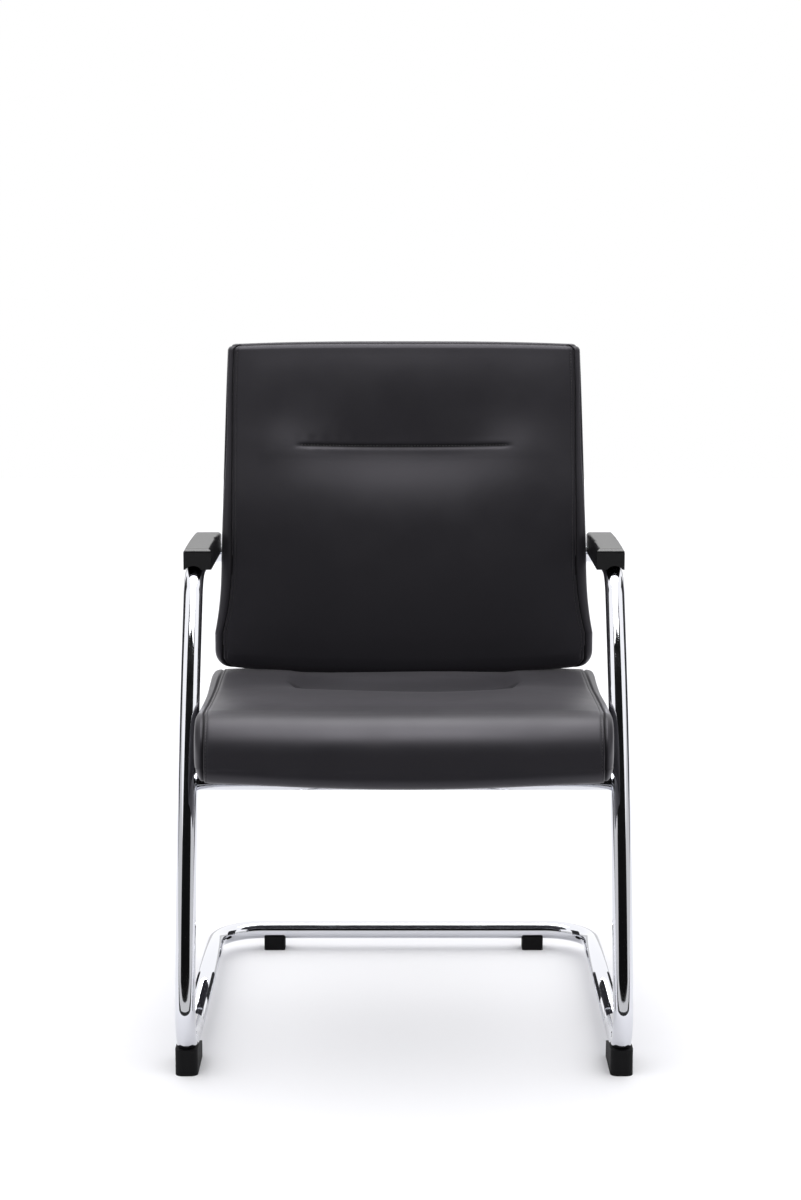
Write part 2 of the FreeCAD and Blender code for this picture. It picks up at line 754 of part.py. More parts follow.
def seat_cover_section(station, roll):
    """Side profile of the seat's cover: a strip round the cushion, open between the turned-in ends."""
    place = seat_place(station)
    thickness = size("leather") - size("cover_fit")
    strip = []
    for skin in (0, thickness):
        corners = seat_corners(station, roll, skin)
        low = corners[0][0][1]
        points = [(seat_open_rear, low)]
        for rounded in corners:
            points += rounded
        points.append((seat_open_front, low))
        strip.append([place(*point) for point in points])
    outside, inside = strip
    edges = []
    for points in (outside, list(reversed(inside))):
        for number in range(0, len(points) - 2, 3):
            edges.append(line(points[number], points[number + 1]))
            edges.append(bend(points[number + 1], points[number + 2], points[number + 3]))
        edges.append(line(points[-2], points[-1]))
    edges.append(line(inside[0], outside[0]))
    edges.insert(len(edges) // 2, line(outside[-1], inside[-1]))
    return Part.Wire(Part.__sortEdges__(edges))


def seat_stations():
    """Distances from the seat's middle to the seam, with how far the cushion has rolled in there."""
    flat = size("seat_half_width") - size("seat_side_roll")
    seam_step = (size("seat_seam") - flat) / size("seat_side_roll")
    between = (flat + size("seat_seam")) / 2
    stations = [(size("seat_seam"), roll_in(seam_step)), (between, roll_in(seam_step / 2))]
    return stations + [(flat * share, 0) for share in FLAT_SHARES]


def mirrored_loft(section, stations, ruled):
    """Loft through stations on both sides and the middle, smooth or ruled from one to the next."""
    sections = [section(-station, roll) for station, roll in stations]
    sections.append(section(0, 0))
    sections += [section(station, roll) for station, roll in reversed(stations)]
    return Part.makeLoft(sections, True, ruled)


def seat_cheek_loft(side):
    """Side cheek of the seat, from the seam out to its rounded edge."""
    flat = size("seat_half_width") - size("seat_side_roll")
    stations = [seat_stations()[0]]
    stations += [(flat + size("seat_side_roll") * step, roll_in(step)) for step in CHEEK_STEPS]
    return Part.makeLoft([seat_section(side * station, roll, 0) for station, roll in stations], True, False)


def seat_tuck():
    """Curved rod that presses the sewn tuck into the seat's top."""
    half = size("seat_tuck_half_span")
    depth = size("seat_tuck_depth")
    radius = (half**2 + depth**2) / (2 * depth)
    sweep = 2 * math.degrees(math.asin(half / radius))
    top = seat_base + size("seat_thickness") + size("seat_crown") + size("tuck_radius") - size("tuck_bite")
    centre = Vector(0, size("seat_tuck_front") + radius, top)
    rod = Part.makeTorus(radius, size("tuck_radius"), Vector(), Vector(0, 0, 1), 0, 360, sweep)
    rod.Placement = Placement(centre, Rotation(Vector(0, 0, 1), 270 - sweep / 2))
    return rod


def back_half_width(height):
    """Half width of the backrest: narrower upwards, flared below the arms, rounded at both ends."""
    arm = size("back_arm_half_width")
    if height > size("back_flare_start"):
        share = (height - size("back_flare_start")) / (size("back_top") - size("back_flare_start"))
        half = arm + (size("back_top_half_width") - arm) * share
    else:
        share = (size("back_flare_start") - height) / (size("back_flare_start") - size("back_flare_end"))
        half = arm + (size("back_low_half_width") - arm) * min(share, 1) ** 2
    half -= size("back_low_corner") * roll_in(bottom_step(height))
    return half - size("back_top_corner") * roll_in(top_step(height))


def bottom_step(height):
    """How far a height lies into the rounded bottom, from 0 to 1."""
    return min(max(1 - (height - size("back_bottom")) / size("back_bottom_rise"), 0), 1)


def top_step(height):
    """How far a height lies into the rounded top, from 0 to 1."""
    return min(max(1 - (size("back_top") - height) / size("back_top_drop"), 0), 1)


def back_seam_at(height):
    """Half width of the backrest's front panel, which flares below the arms."""
    drop = size("back_flare_start") - height
    share = drop / (size("back_flare_start") - size("back_flare_end"))
    flare = (size("back_seam_low") - size("back_seam")) * min(max(share, 0), 1) ** 2
    return min(size("back_seam") + flare, back_half_width(height))


def back_front_at(height, across=0):
    """Front of the backrest: crowned across, curved back above the lumbar bulge, rolled in at its ends."""
    front = size("back_front") + (height - size("lumbar_height")) ** 2 / (2 * size("lumbar_radius"))
    front += size("back_bottom_roll") * roll_in(bottom_step(height))
    front += size("back_top_roll") * roll_in(top_step(height))
    return front + size("back_crown") * (across / size("back_low_half_width")) ** 2


def back_rear_at(height):
    """Rear of the backrest: flat below, then bent back on an arc."""
    rise = max(height - size("back_bend_start"), 0)
    return size("back_rear") + size("back_bend_radius") - math.sqrt(size("back_bend_radius") ** 2 - rise**2)


def front_arc(height, half, skin):
    """Crowned front edge of a plan section, from left to right."""
    ends = back_front_at(height, half) + skin
    middle = Vector(0, back_front_at(height) + skin, height)
    return bend(Vector(-half, ends, height), middle, Vector(half, ends, height))


def back_core_section(height):
    """Plan section of the backrest's foam between the two seams."""
    half = back_seam_at(height)
    rear = back_rear_at(height) - size("cover_fit")
    front = front_arc(height, half, size("leather"))
    left, right = (Vector(side * half, rear, height) for side in (-1, 1))
    ends = [vertex.Point for vertex in front.Vertexes]
    return Part.Wire([front, line(ends[1], right), line(right, left), line(left, ends[0])])


def back_end_section(height):
    """Plan section of the cover where it lies over an end of the foam."""
    half = back_seam_at(height) - size("cover_fit")
    rear = back_rear_at(height) - size("cover_fit")
    front = front_arc(height, half, 0)
    left, right = (Vector(side * half, rear, height) for side in (-1, 1))
    ends = [vertex.Point for vertex in front.Vertexes]
    return Part.Wire([front, line(ends[1], right), line(right, left), line(left, ends[0])])


def back_cover_section(height):
    """Plan section of the backrest's front panel, a strip before the foam."""
    half = back_seam_at(height) - size("cover_fit")
    near = front_arc(height, half, 0)
    far = front_arc(height, half, size("leather") - size("cover_fit"))
    fronts = [vertex.Point for vertex in near.Vertexes]
    rears = [vertex.Point for vertex in far.Vertexes]
    return Part.Wire([near, line(fronts[1], rears[1]), far, line(rears[0], fronts[0])])


def back_cheek_section(height, side):
    """Plan section of one side cheek of the backrest, rounded at its front and rear corners."""
    half = back_half_width(height)
    seam = back_seam_at(height) + size("cover_fit")
    rear = back_rear_at(height)
    near = min(size("back_front_corner"), (half - seam) * size("cheek_round_share"))
    far = size("back_rear_corner")
    edge = back_front_at(height, half - near)
    slack = 1 - math.sqrt(0.5)
    reach = seam - (half - far)
    turn = math.asin(reach / far) / 2 + math.pi / 4
    points = [
        (seam, back_front_at(height, seam)),
        (half - near, edge),
        (half - near * slack, edge + near * slack),
        (half, edge + near),
        (half, rear - far),
        (half - far + far * math.sin(turn), rear - far + far * math.cos(turn)),
        (seam, rear - far + math.sqrt(far**2 - reach**2)),
    ]
    places = [Vector(side * across, along, height) for across, along in points]
    edges = [bend(*places[1:4]), line(places[3], places[4]), bend(*places[4:7]), line(places[6], places[0])]
    edges.append(line(places[0], places[1]))
    return Part.Wire(Part.__sortEdges__(edges))


def back_heights(inset):
    """Heights of the backrest's sections, close together where its ends round over."""
    low = [size("back_bottom") + inset + size("back_bottom_rise") * share for share in END_STEPS]
    high = [size("back_top") - inset - size("back_top_drop") * share for share in reversed(END_STEPS)]
    rise = high[0] - size("back_flare_start")
    middle = [size("back_flare_end"), (size("back_flare_end") + size("back_flare_start")) / 2]
    middle += [size("back_flare_start") + rise * number / FLARE_STEPS for number in range(FLARE_STEPS)]
    return low + middle + high


def back_loft(section, inset):
    """Loft of the backrest from near its bottom to near its top."""
    return Part.makeLoft([section(height) for height in back_heights(inset)], True, False)


def back_cover_end(*heights):
    """Part of the front panel that is turned over the top or the bottom of the foam."""
    return Part.makeLoft([back_end_section(height) for height in heights], True, True)


def back_cover():
    """Front panel of the backrest with its turned-over ends and the sewn tuck."""
    low, high = size("back_bottom"), size("back_top")
    ends = [back_cover_end(low, low + size("leather")), back_cover_end(high - size("leather"), high)]
    return back_loft(back_cover_section, size("leather")).fuse(ends).removeSplitter().cut(back_tuck())


def back_cheek_loft(side):
    """Side cheek of the backrest, where its outline stands clear of the seam."""
    margin = size("cheek_least")

    def is_clear(height):
        return back_half_width(height) - back_seam_at(height) > margin

    heights = [height for height in back_heights(0) if is_clear(height)]
    return Part.makeLoft([back_cheek_section(height, side) for height in heights], True, False)


def back_tuck():
    """Slightly curved rod that presses the sewn tuck into the backrest's front."""
    half = size("back_tuck_half_span")
    bulge = size("back_crown") * (half / size("back_low_half_width")) ** 2
    radius = (half**2 + bulge**2) / (2 * bulge)
    sweep = 2 * math.degrees(math.asin(half / radius))
    front = back_front_at(size("back_tuck_height")) - size("tuck_radius") + size("tuck_bite")
    rod = Part.makeTorus(radius, size("tuck_radius"), Vector(), Vector(0, 0, 1), 0, 360, sweep)
    centre = Vector(0, front + radius, size("back_tuck_height"))
    rod.Placement = Placement(centre, Rotation(Vector(0, 0, 1), 270 - sweep / 2))
    return rod


def shaped(name, shape):
    """Feature with a worked-out shape, set down in the tilted directions."""
    feature = doc.addObject("Part::Feature", name)
    feature.Shape = shape
    feature.Placement = tilted
    return feature


def sheet_profile(body, thickness, bottom, top, depth):
    """Side outline of a bent board: flat below, then an arc, of one thickness towards the front."""
    sketch = add_sketch(body, "bent_side", "YZ_Plane")
    rear = f"sizes.back_rear + {depth}"
    far = f"sizes.back_bend_radius - ({depth})"
    near = f"sizes.back_bend_radius - ({depth}) + {thickness}"
    axis = "sizes.back_rear + sizes.back_bend_radius"
    share = f"({top} - sizes.back_bend_start) / sizes.back_bend_radius"
    tips = [(f"{axis} - ({radius}) * cos(asin({share}))",
             f"sizes.back_bend_start + ({radius}) * {share}") for radius in (far, near)]
    corners = [(rear, bottom), (rear, "sizes.back_bend_start"), *tips]
    corners += [(f"{rear} - {thickness}", "sizes.back_bend_start"), (f"{rear} - {thickness}", bottom)]
    outline(sketch, corners, {1: (far, -1), 3: (near, 1)})
    return sketch


SEAT_BASE = "sizes.cross_tube_diameter / 2 + sizes.plate_thickness"
NOTHING = "0 * sizes.leather"
RIGHT_THROUGH = "sizes.base_depth * 3"
SAME_LENGTH = 0.01


def rectangle(sketch, left, low, right, high):
    """Rectangular outline between two opposite corners."""
    outline(sketch, [(left, low), (right, low), (right, high), (left, high)])


def seat_bolt_places():
    """Seat bolts in the seat's plane, with the thickness of what each one clamps below it."""
    places = []
    for side in SIDES.values():
        for sign in (-1, 1):
            along = sign * size("plate_bolt_reach")
            places.append((side * size("plate_spread"), along, "plate_thickness"))
        for number in (0, 1):
            along = size("iron_seat_bolt") + number * size("iron_seat_pitch")
            places.append((side * size("iron_spread"), along, "iron_thickness"))
    return places


def seat_hole_texts():
    """Expressions of the seat bolts' places, for sketches."""
    texts = []
    for sign in ("-", ""):
        for way in ("-", ""):
            texts.append((f"{sign}sizes.plate_spread", f"{way}sizes.plate_bolt_reach"))
        texts.append((f"{sign}sizes.iron_spread", "sizes.iron_seat_bolt"))
        texts.append((f"{sign}sizes.iron_spread", "sizes.iron_seat_bolt + sizes.iron_seat_pitch"))
    return texts


def back_bolt_places():
    """Places of the back's bolts across and up, for the angle irons and for the arm rails."""
    irons = []
    rails = []
    for side in SIDES.values():
        for number in (0, 1):
            up = size("iron_back_bolt") + number * size("iron_back_pitch")
            irons.append((side * size("iron_spread"), up))
        rails += [(across, rail_lift) for across in rail_bolt_places(side)]
    return irons, rails


def nut(placement):
    """T-nut: a barrel in the board and a flange on its far side, bored for the bolt."""
    barrel_start = upright(Vector(0, 0, size("board_thickness") - size("nut_barrel_length")))
    barrel = hole("nut_barrel", placement.multiply(barrel_start), "sizes.nut_barrel_diameter",
                  "sizes.nut_barrel_length")
    depth = "sizes.board_thickness + sizes.nut_flange_thickness"
    bore = hole("nut_bore", placement, "sizes.bolt_diameter", depth)
    return boolean("Cut", "nut", fuse("nut_blank", [barrel, flange(placement)]), bore)


def flange(placement):
    """Flange of a T-nut, beyond the board's far side."""
    beyond = placement.multiply(upright(Vector(0, 0, size("board_thickness"))))
    return hole("nut_flange", beyond, "sizes.nut_flange_diameter", "sizes.nut_flange_thickness")


def nut_seat(placement):
    """Room for a T-nut: its flange and the drilled hole in the board."""
    drilled = hole("nut_hole", placement, "sizes.nut_barrel_diameter", "sizes.board_thickness")
    return fuse("nut_seat", [drilled, flange(placement)])


def bolt(placement, clamped):
    """Hexagon bolt from under its head, through what it clamps, into the T-nut."""
    above = placement.multiply(upright(Vector(0, 0, -size("bolt_head_height"))))
    head = primitive("Prism", "bolt_head", above, Circumradius="sizes.bolt_head_width / 2 / cos(30)",
                     Height="sizes.bolt_head_height")
    reach = f"{clamped} + sizes.board_thickness + sizes.nut_flange_thickness - sizes.thread_end"
    return fuse("bolt", [head, hole("bolt_shank", placement, "sizes.bolt_diameter", reach)])


def washer(placement):
    """Flat washer from its placement along its own axis."""
    disc = hole("washer_disc", placement, "sizes.washer_diameter", "sizes.washer_thickness")
    return boolean("Cut", "washer", disc, hole("washer_hole", placement, BOLT_HOLE, "sizes.washer_thickness"))


def seat_board():
    """Plywood board of the seat, drilled for its T-nuts."""
    body = add_body("seat_board_body", tilted)
    lift = f"{SEAT_BASE} + sizes.leather"
    sketch = add_sketch(body, "seat_board_outline", "XY_Plane", lift)
    half = "sizes.seat_board_half_width"
    rectangle(sketch, f"-{half}", "-sizes.seat_board_front", half, "sizes.seat_board_rear")
    slab = raise_pad(body, sketch, "sizes.board_thickness")
    round_edges(body, slab, "sizes.seat_board_corner", lambda edge: runs_along(edge, Vector(0, 0, 1)))
    holes = add_sketch(body, "seat_board_holes", "XY_Plane", lift)
    for across, along in seat_hole_texts():
        circle(holes, across, along, "sizes.nut_barrel_diameter")
    drill(body, holes)
    return node(body, "seat_board")


def seat_under_cover():
    """Thin cover of the opening under the seat, flush with the leather that is turned in round it."""
    body = add_body("under_cover_body", tilted)
    sketch = add_sketch(body, "under_cover_outline", "XY_Plane", SEAT_BASE)
    inset = "sizes.under_cover_margin + sizes.cover_fit"
    half = "sizes.seat_seam - sizes.under_cover_margin"
    front = f"-sizes.seat_board_front + {inset}"
    rectangle(sketch, f"-({half})", front, half, f"sizes.seat_board_rear - ({inset})")
    raise_pad(body, sketch, "sizes.leather - sizes.cover_fit")
    holes = add_sketch(body, "under_cover_holes", "XY_Plane", SEAT_BASE)
    for across, along in seat_hole_texts():
        circle(holes, across, along, BOLT_HOLE)
    drill(body, holes)
    node(body, "seat_under_cover")


def seat_cushion(board):
    """Seat foam and its sewn cover: a wide panel and two side cheeks, open below."""
    panel = mirrored_loft(seat_cover_section, seat_stations(), False)
    node(shaped("seat_panel", panel.cut(seat_tuck())), "seat_cover_top")
    for name, side in SIDES.items():
        node(shaped(f"seat_cheek_{name}", seat_cheek_loft(side)), f"seat_cover_{name}")

    def foam_section(station, roll):
        return seat_section(station, roll, size("leather"))

    block = mirrored_loft(foam_section, seat_stations(), True)
    nuts = [on_seat(across, along, seat_base + size("leather")) for across, along, _ in seat_bolt_places()]
    tools = fuse("seat_foam_tools", [board] + [nut_seat(place) for place in nuts])
    node(boolean("Cut", "seat_foam_cut", shaped("seat_foam_block", block), tools), "seat_foam")


def seat_fasteners():
    """T-nuts, bolts and washers that hold the seat to the plates and the angle irons."""
    nuts = []
    bolts = []
    washers = []
    for across, along, clamped in seat_bolt_places():
        nuts.append(nut(on_seat(across, along, seat_base + size("leather"))))
        under = on_seat(across, along, seat_base - size(clamped) - size("washer_thickness"))
        washers.append(washer(under))
        bolts.append(bolt(under, f"sizes.washer_thickness + sizes.{clamped} + sizes.leather"))
    group(nuts, "seat_t_nuts")
    group(bolts, "seat_bolts")
    group(washers, "seat_washers")


def angle_iron(name, side):
    """Bent flat bar that joins the seat board to the back board."""
    body = add_body(f"{name}_iron", on_seat(side * size("iron_spread"), 0, 0))
    sketch = add_sketch(body, "iron_side", "YZ_Plane")
    thick = "sizes.iron_thickness"
    rear = "sizes.back_rear + sizes.rear_panel_thickness"
    under = f"{SEAT_BASE} - {thick}"
    corners = [("sizes.iron_front", under), (f"{rear} + {thick}", under)]
    corners += [(f"{rear} + {thick}", "sizes.iron_top"), (rear, "sizes.iron_top"), (rear, SEAT_BASE)]
    corners += [("sizes.iron_front", SEAT_BASE)]
    outline(sketch, corners)
    bar = pad(body, sketch, "sizes.iron_width")
    heel = size("back_rear") + size("rear_panel_thickness")
    across = Vector(1, 0, 0)

    def is_bend(edge, along, up):
        middle = edge.CenterOfMass
        return runs_along(edge, across) and abs(middle.y - along) < 0.1 and abs(middle.z - up) < 0.1

    outside = heel + size("iron_thickness")
    low = seat_base - size("iron_thickness")
    bent = round_edges(body, bar, "sizes.iron_bend", lambda edge: is_bend(edge, outside, low))
    bent = round_edges(body, bent, f"sizes.iron_bend - {thick}", lambda edge: is_bend(edge, heel, seat_base))

    def is_end(edge):
        short = abs(edge.Length - size("iron_thickness")) < SAME_LENGTH
        return short and not runs_along(edge, across) and edge.Curve.TypeId == "Part::GeomLine"

    round_edges(body, bent, "sizes.iron_corner", is_end)
    below = add_sketch(body, "iron_seat_holes", "XY_Plane")
    circle(below, NOTHING, "sizes.iron_seat_bolt", BOLT_HOLE)
    circle(below, NOTHING, "sizes.iron_seat_bolt + sizes.iron_seat_pitch", BOLT_HOLE)
    drill(body, below)
    behind = add_sketch(body, "iron_back_holes", "XZ_Plane")
    circle(behind, NOTHING, "sizes.iron_back_bolt", BOLT_HOLE)
    circle(behind, NOTHING, "sizes.iron_back_bolt + sizes.iron_back_pitch", BOLT_HOLE)
    drill(body, behind)
    node(body, f"angle_iron_{name}")


def drill_back(body, diameter):
    """Holes through a bent board for the back's bolts."""
    holes = add_sketch(body, "back_holes", "XZ_Plane")
    for sign in ("-", ""):
        for number in (0, 1):
            lift = f"sizes.iron_back_bolt + {number} * sizes.iron_back_pitch"
            circle(holes, f"{sign}sizes.iron_spread", lift, diameter)
            reach = f"{sign}(sizes.rail_bolt_first + {number} * sizes.rail_bolt_pitch)"
            rise = "(sizes.arm_rise"
            depth = "(sizes.back_rear + sizes.rear_panel_thickness + sizes.rail_spacer_length"
            depth += " + sizes.tube_diameter / 2)"
            lift = f"{rise} + {depth} * sin(sizes.seat_tilt)) / cos(sizes.seat_tilt)"
            circle(holes, reach, lift, diameter)
    drill(body, holes)


def back_board():
    """Bent plywood board of the backrest, drilled for its T-nuts."""
    body = add_body("back_board_body", tilted)
    ends = ("sizes.back_board_bottom", "sizes.back_board_top")
    sketch = sheet_profile(body, "sizes.board_thickness", *ends, NOTHING)
    slab = pad(body, sketch, "sizes.back_board_half_width * 2")
    thickness = size("board_thickness")

    def is_corner(edge):
        return edge.Curve.TypeId == "Part::GeomLine" and abs(edge.Length - thickness) < SAME_LENGTH

    round_edges(body, slab, "sizes.back_board_corner", is_corner)
    drill_back(body, "sizes.nut_barrel_diameter")
    return node(body, "back_board")


def outline_zone(name, corners, corner_radius):
    """Deep block with a rounded front outline, to trim parts of the backrest with."""
    body = add_body(name, tilted)
    sketch = add_sketch(body, f"{name}_outline", "XZ_Plane")
    outline(sketch, corners)
    block = pad(body, sketch, RIGHT_THROUGH)
    round_edges(body, block, corner_radius, lambda edge: runs_along(edge, Vector(0, 1, 0)))
    return body


def back_rear_panel():
    """Thin bent panel that closes the rear of the backrest."""
    body = add_body("rear_panel_sheet", tilted)
    depth = "sizes.rear_panel_thickness"
    sketch = sheet_profile(body, depth, "sizes.rear_panel_bottom", "sizes.back_top", depth)
    pad(body, sketch, "sizes.rear_panel_low_half_width * 2")
    drill_back(body, BOLT_HOLE)
    low = "sizes.rear_panel_low_half_width"
    high = "sizes.rear_panel_top_half_width"
    corners = [(f"-{low}", "sizes.rear_panel_bottom"), (low, "sizes.rear_panel_bottom")]
    corners += [(high, "sizes.rear_panel_top"), (f"-{high}", "sizes.rear_panel_top")]
    zone = outline_zone("rear_panel_zone", corners, "sizes.rear_panel_corner")
    node(boolean("Common", "rear_panel", body, zone), "back_rear_panel")


def back_cushion(board):
    """Backrest foam and its sewn cover: a front panel and two side cheeks, open at the rear."""
    node(shaped("back_panel", back_cover()), "back_cover_front")
    for name, side in SIDES.items():
        node(shaped(f"back_cheek_{name}", back_cheek_loft(side)), f"back_cover_{name}")
    irons, rails = back_bolt_places()
    nuts = [on_seat(across, size("back_rear"), up, FACING_FRONT) for across, up in irons + rails]
    tools = fuse("back_foam_tools", [board] + [nut_seat(place) for place in nuts])
    inset = size("leather") + size("cover_fit")
    core = shaped("back_foam_block", back_loft(back_core_section, inset))
    node(boolean("Cut", "back_foam_cut", core, tools), "back_foam")


def back_fasteners(rods):
    """T-nuts, bolts, washers, spacers and saddle washers that hold the backrest."""
    irons, rails = back_bolt_places()
    places = [on_seat(across, size("back_rear"), up, FACING_FRONT) for across, up in irons + rails]
    group([nut(place) for place in places], "back_t_nuts")
    heel = size("back_rear") + size("rear_panel_thickness")
    bolts = []
    washers = []
    for across, up in irons:
        under = heel + size("iron_thickness") + size("washer_thickness")
        washers.append(washer(on_seat(across, under, up, FACING_FRONT)))
        clamped = "sizes.washer_thickness + sizes.iron_thickness + sizes.rear_panel_thickness"
        bolts.append(bolt(on_seat(across, under, up, FACING_FRONT), clamped))
    group(bolts, "angle_iron_bolts")
    group(washers, "angle_iron_washers")
    bolts = []
    saddles = []
    spacers = []
    for across, up in rails:
        rod = rods["left" if across < 0 else "right"]
        through = on_seat(across, rail_depth + tube_radius * 2, up, FACING_FRONT)
        bore = hole("rail_bore", through, BOLT_HOLE, "sizes.tube_diameter * 2 + sizes.rail_spacer_length")
        tools = fuse("rail_tools", [rod, bore])
        spacer = hole("spacer_blank", on_seat(across, heel, up, FACING_REAR), "sizes.rail_spacer_diameter",
                      "sizes.rail_spacer_length + sizes.tube_diameter / 2")
        spacers.append(boolean("Cut", "rail_spacer", spacer, tools))
        saddle = hole("saddle_blank", on_seat(across, rail_depth, up, FACING_REAR), "sizes.washer_diameter",
                      "sizes.tube_diameter / 2 + sizes.washer_thickness")
        saddles.append(boolean("Cut", "rail_saddle", saddle, tools))
        under = rail_depth + tube_radius + size("washer_thickness")
        clamped = "sizes.washer_thickness + sizes.tube_diameter + sizes.rail_spacer_length"
        clamped += " + sizes.rear_panel_thickness"
        bolts.append(bolt(on_seat(across, under, up, FACING_FRONT), clamped))
    group(bolts, "rail_bolts")
    group(saddles, "rail_saddle_washers")
    group(spacers, "rail_spacers")


def build():
    """Make every piece of the chair."""
    rods = {}
    for name, side in SIDES.items():
        rods[name] = side_bow(name, side)
        rail_plug(name, side)
        seat_plate(name, side)
        toe_foot(name, side, rods[name])
        rear_foot(name, side)
        arm_pad(name, side)
        angle_iron(name, side)
    rear_floor_bow()
    runner_spigots()
    cross_tube(list(rods.values()))
    arm_pad_screws()
    seat_cushion(seat_board())
    seat_under_cover()
    seat_fasteners()
    back_cushion(back_board())
    back_rear_panel()
    back_fasteners(rods)
    doc.recompute()


def check():
    """Stop before anything is written if a feature failed or a piece has no valid shape."""
    failed = [item.Name for item in doc.Objects if {"Invalid", "Error"} & set(item.State)]
    for piece in nodes:
        if piece.Shape.isNull() or not piece.Shape.isValid() or not piece.Shape.Solids:
            failed.append(piece.Label)
    if failed:
        raise RuntimeError("failed pieces: " + ", ".join(failed))


build()
check()
os.makedirs("parts", exist_ok=True)
for piece in nodes:
    piece.Shape.exportStep(f"parts/{piece.Label}.step")
    print(piece.Label, len(piece.Shape.Solids), round(piece.Shape.Volume))
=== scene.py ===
"""Looks of a cantilever conference chair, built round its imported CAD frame.

Leather cushions, chromed tubes, stitching, light and camera. Sizes are in metres, in the CAD frame:
X runs across, the chair faces -Y, Z is up and the floor lies at Z = 0.
"""

from __future__ import annotations

import json
import logging
import math
from abc import ABC, abstractmethod
from dataclasses import dataclass, replace
from enum import Enum
from functools import cached_property
from typing import Any

import bpy
import numpy as np
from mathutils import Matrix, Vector

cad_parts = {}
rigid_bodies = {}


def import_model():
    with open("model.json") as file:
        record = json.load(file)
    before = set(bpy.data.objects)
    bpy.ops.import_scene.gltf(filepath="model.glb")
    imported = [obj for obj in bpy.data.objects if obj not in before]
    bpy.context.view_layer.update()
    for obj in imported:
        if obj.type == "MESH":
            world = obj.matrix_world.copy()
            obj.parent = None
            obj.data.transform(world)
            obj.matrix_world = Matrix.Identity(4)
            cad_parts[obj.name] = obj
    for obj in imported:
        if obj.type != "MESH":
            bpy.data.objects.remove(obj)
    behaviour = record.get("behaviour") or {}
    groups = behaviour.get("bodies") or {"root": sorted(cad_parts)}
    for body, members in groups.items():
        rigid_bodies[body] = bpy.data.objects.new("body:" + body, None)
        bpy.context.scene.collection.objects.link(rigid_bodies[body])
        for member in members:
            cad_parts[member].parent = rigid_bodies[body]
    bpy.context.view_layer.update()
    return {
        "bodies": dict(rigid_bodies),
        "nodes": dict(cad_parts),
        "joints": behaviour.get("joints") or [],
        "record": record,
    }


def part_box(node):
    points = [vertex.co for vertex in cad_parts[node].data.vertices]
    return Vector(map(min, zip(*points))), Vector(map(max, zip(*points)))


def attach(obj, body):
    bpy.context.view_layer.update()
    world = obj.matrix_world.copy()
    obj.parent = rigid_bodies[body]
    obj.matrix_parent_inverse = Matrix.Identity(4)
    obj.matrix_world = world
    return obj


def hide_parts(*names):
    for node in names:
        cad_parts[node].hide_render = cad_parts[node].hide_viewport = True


Array = np.ndarray
Material = bpy.types.Material
Node = bpy.types.Node
Piece = bpy.types.Object
Place = tuple[float, float, float]
Socket = bpy.types.NodeSocket
Span = tuple[float, float]
Tree = bpy.types.NodeTree
Settings = dict[str | int, Any]
Links = dict[str | int, Socket]

LOG = logging.getLogger("conference_chair")
MM = 0.001
ROOT = "root"
# Name of the mesh attribute that carries painted shade: it darkens the leather's colour in seams, topstitch
# and tuck.
PAINTED_CREASE_SHADE = "crease"
WHOLE: Span = (0.0, 1.0)
TINY = 1e-12
# A point counts as held by a tuck where the sewing reaches at least this share.
SEWN_SHARE = 0.5


class Side(Enum):
    """The two sides of the chair, as seen from the front."""

    LEFT = -1
    RIGHT = 1

    @property
    def word(self) -> str:
        """The side's word in node names."""
        return self.name.lower()


def linear(colour: str) -> tuple[float, float, float, float]:
    """Turn an sRGB hex colour into linear RGBA.

    Args:
        colour: six hex digits after a hash sign.

    Returns:
        Linear red, green, blue and an alpha of one.
    """
    shares = np.array([int(colour[start:start + 2], 16) / 255 for start in (1, 3, 5)])
    values = np.where(shares <= 0.04045, shares / 12.92, ((shares + 0.055) / 1.055) ** 2.4)
    return (*map(float, values), 1.0)


def wire(node: Node, settings: Settings | None = None, links: Links | None = None) -> Node:
    """Give a node its settings and its incoming links.

    Args:
        node: node that is set up.
        settings: properties and socket values by name, or sockets by number.
        links: output sockets by the name or number of the input that they feed.

    Returns:
        The same node.
    """
    for name, value in (settings or {}).items():
        if isinstance(name, int) or name in node.inputs:
            node.inputs[name].default_value = value
        else:
            setattr(node, name, value)
    for name, socket in (links or {}).items():
        node.id_data.links.new(socket, node.inputs[name])
    return node


def add(tree: Tree, kind: str, settings: Settings | None = None, links: Links | None = None) -> Node:
    """Add one node of a kind, with its settings and its incoming links."""
    return wire(tree.nodes.new(kind), settings, links)


def start_material(name: str) -> tuple[Material, Tree, Node]:
    """Start a material.

    Args:
        name: name of the finish.

    Returns:
        The material, its node tree and its Principled shader.
    """
    material = bpy.data.materials.new(name)
    material.use_nodes = True
    tree = material.node_tree
    return material, tree, tree.nodes["Principled BSDF"]


def object_place(tree: Tree) -> Socket:
    """Place on the object, which all patterns hang on."""
    return add(tree, "ShaderNodeTexCoord").outputs["Object"]


def noise(tree: Tree, place: Socket, size: float, detail: float) -> Socket:
    """Noise with patches of a size in metres."""
    settings = {"Scale": 1 / size, "Detail": detail}
    return add(tree, "ShaderNodeTexNoise", settings, {"Vector": place}).outputs["Fac"]


def remap(tree: Tree, value: Socket, source: Span, target: Span) -> Socket:
    """Carry a value from one span to another in a straight line."""
    settings = {"From Min": source[0], "From Max": source[1], "To Min": target[0], "To Max": target[1]}
    return add(tree, "ShaderNodeMapRange", settings, {"Value": value}).outputs["Result"]


def between(tree: Tree, colours: tuple[str, str], share: Socket) -> Socket:
    """Mix two sRGB hex colours by a share."""
    settings = {"data_type": "RGBA", 6: linear(colours[0]), 7: linear(colours[1])}
    return add(tree, "ShaderNodeMix", settings, {0: share}).outputs[2]


def emboss(tree: Tree, height: Socket, strength: float, depth: float) -> Socket:
    """Normal of a surface that a pattern of heights raises."""
    settings = {"Strength": strength, "Distance": depth}
    return add(tree, "ShaderNodeBump", settings, {"Height": height}).outputs["Normal"]


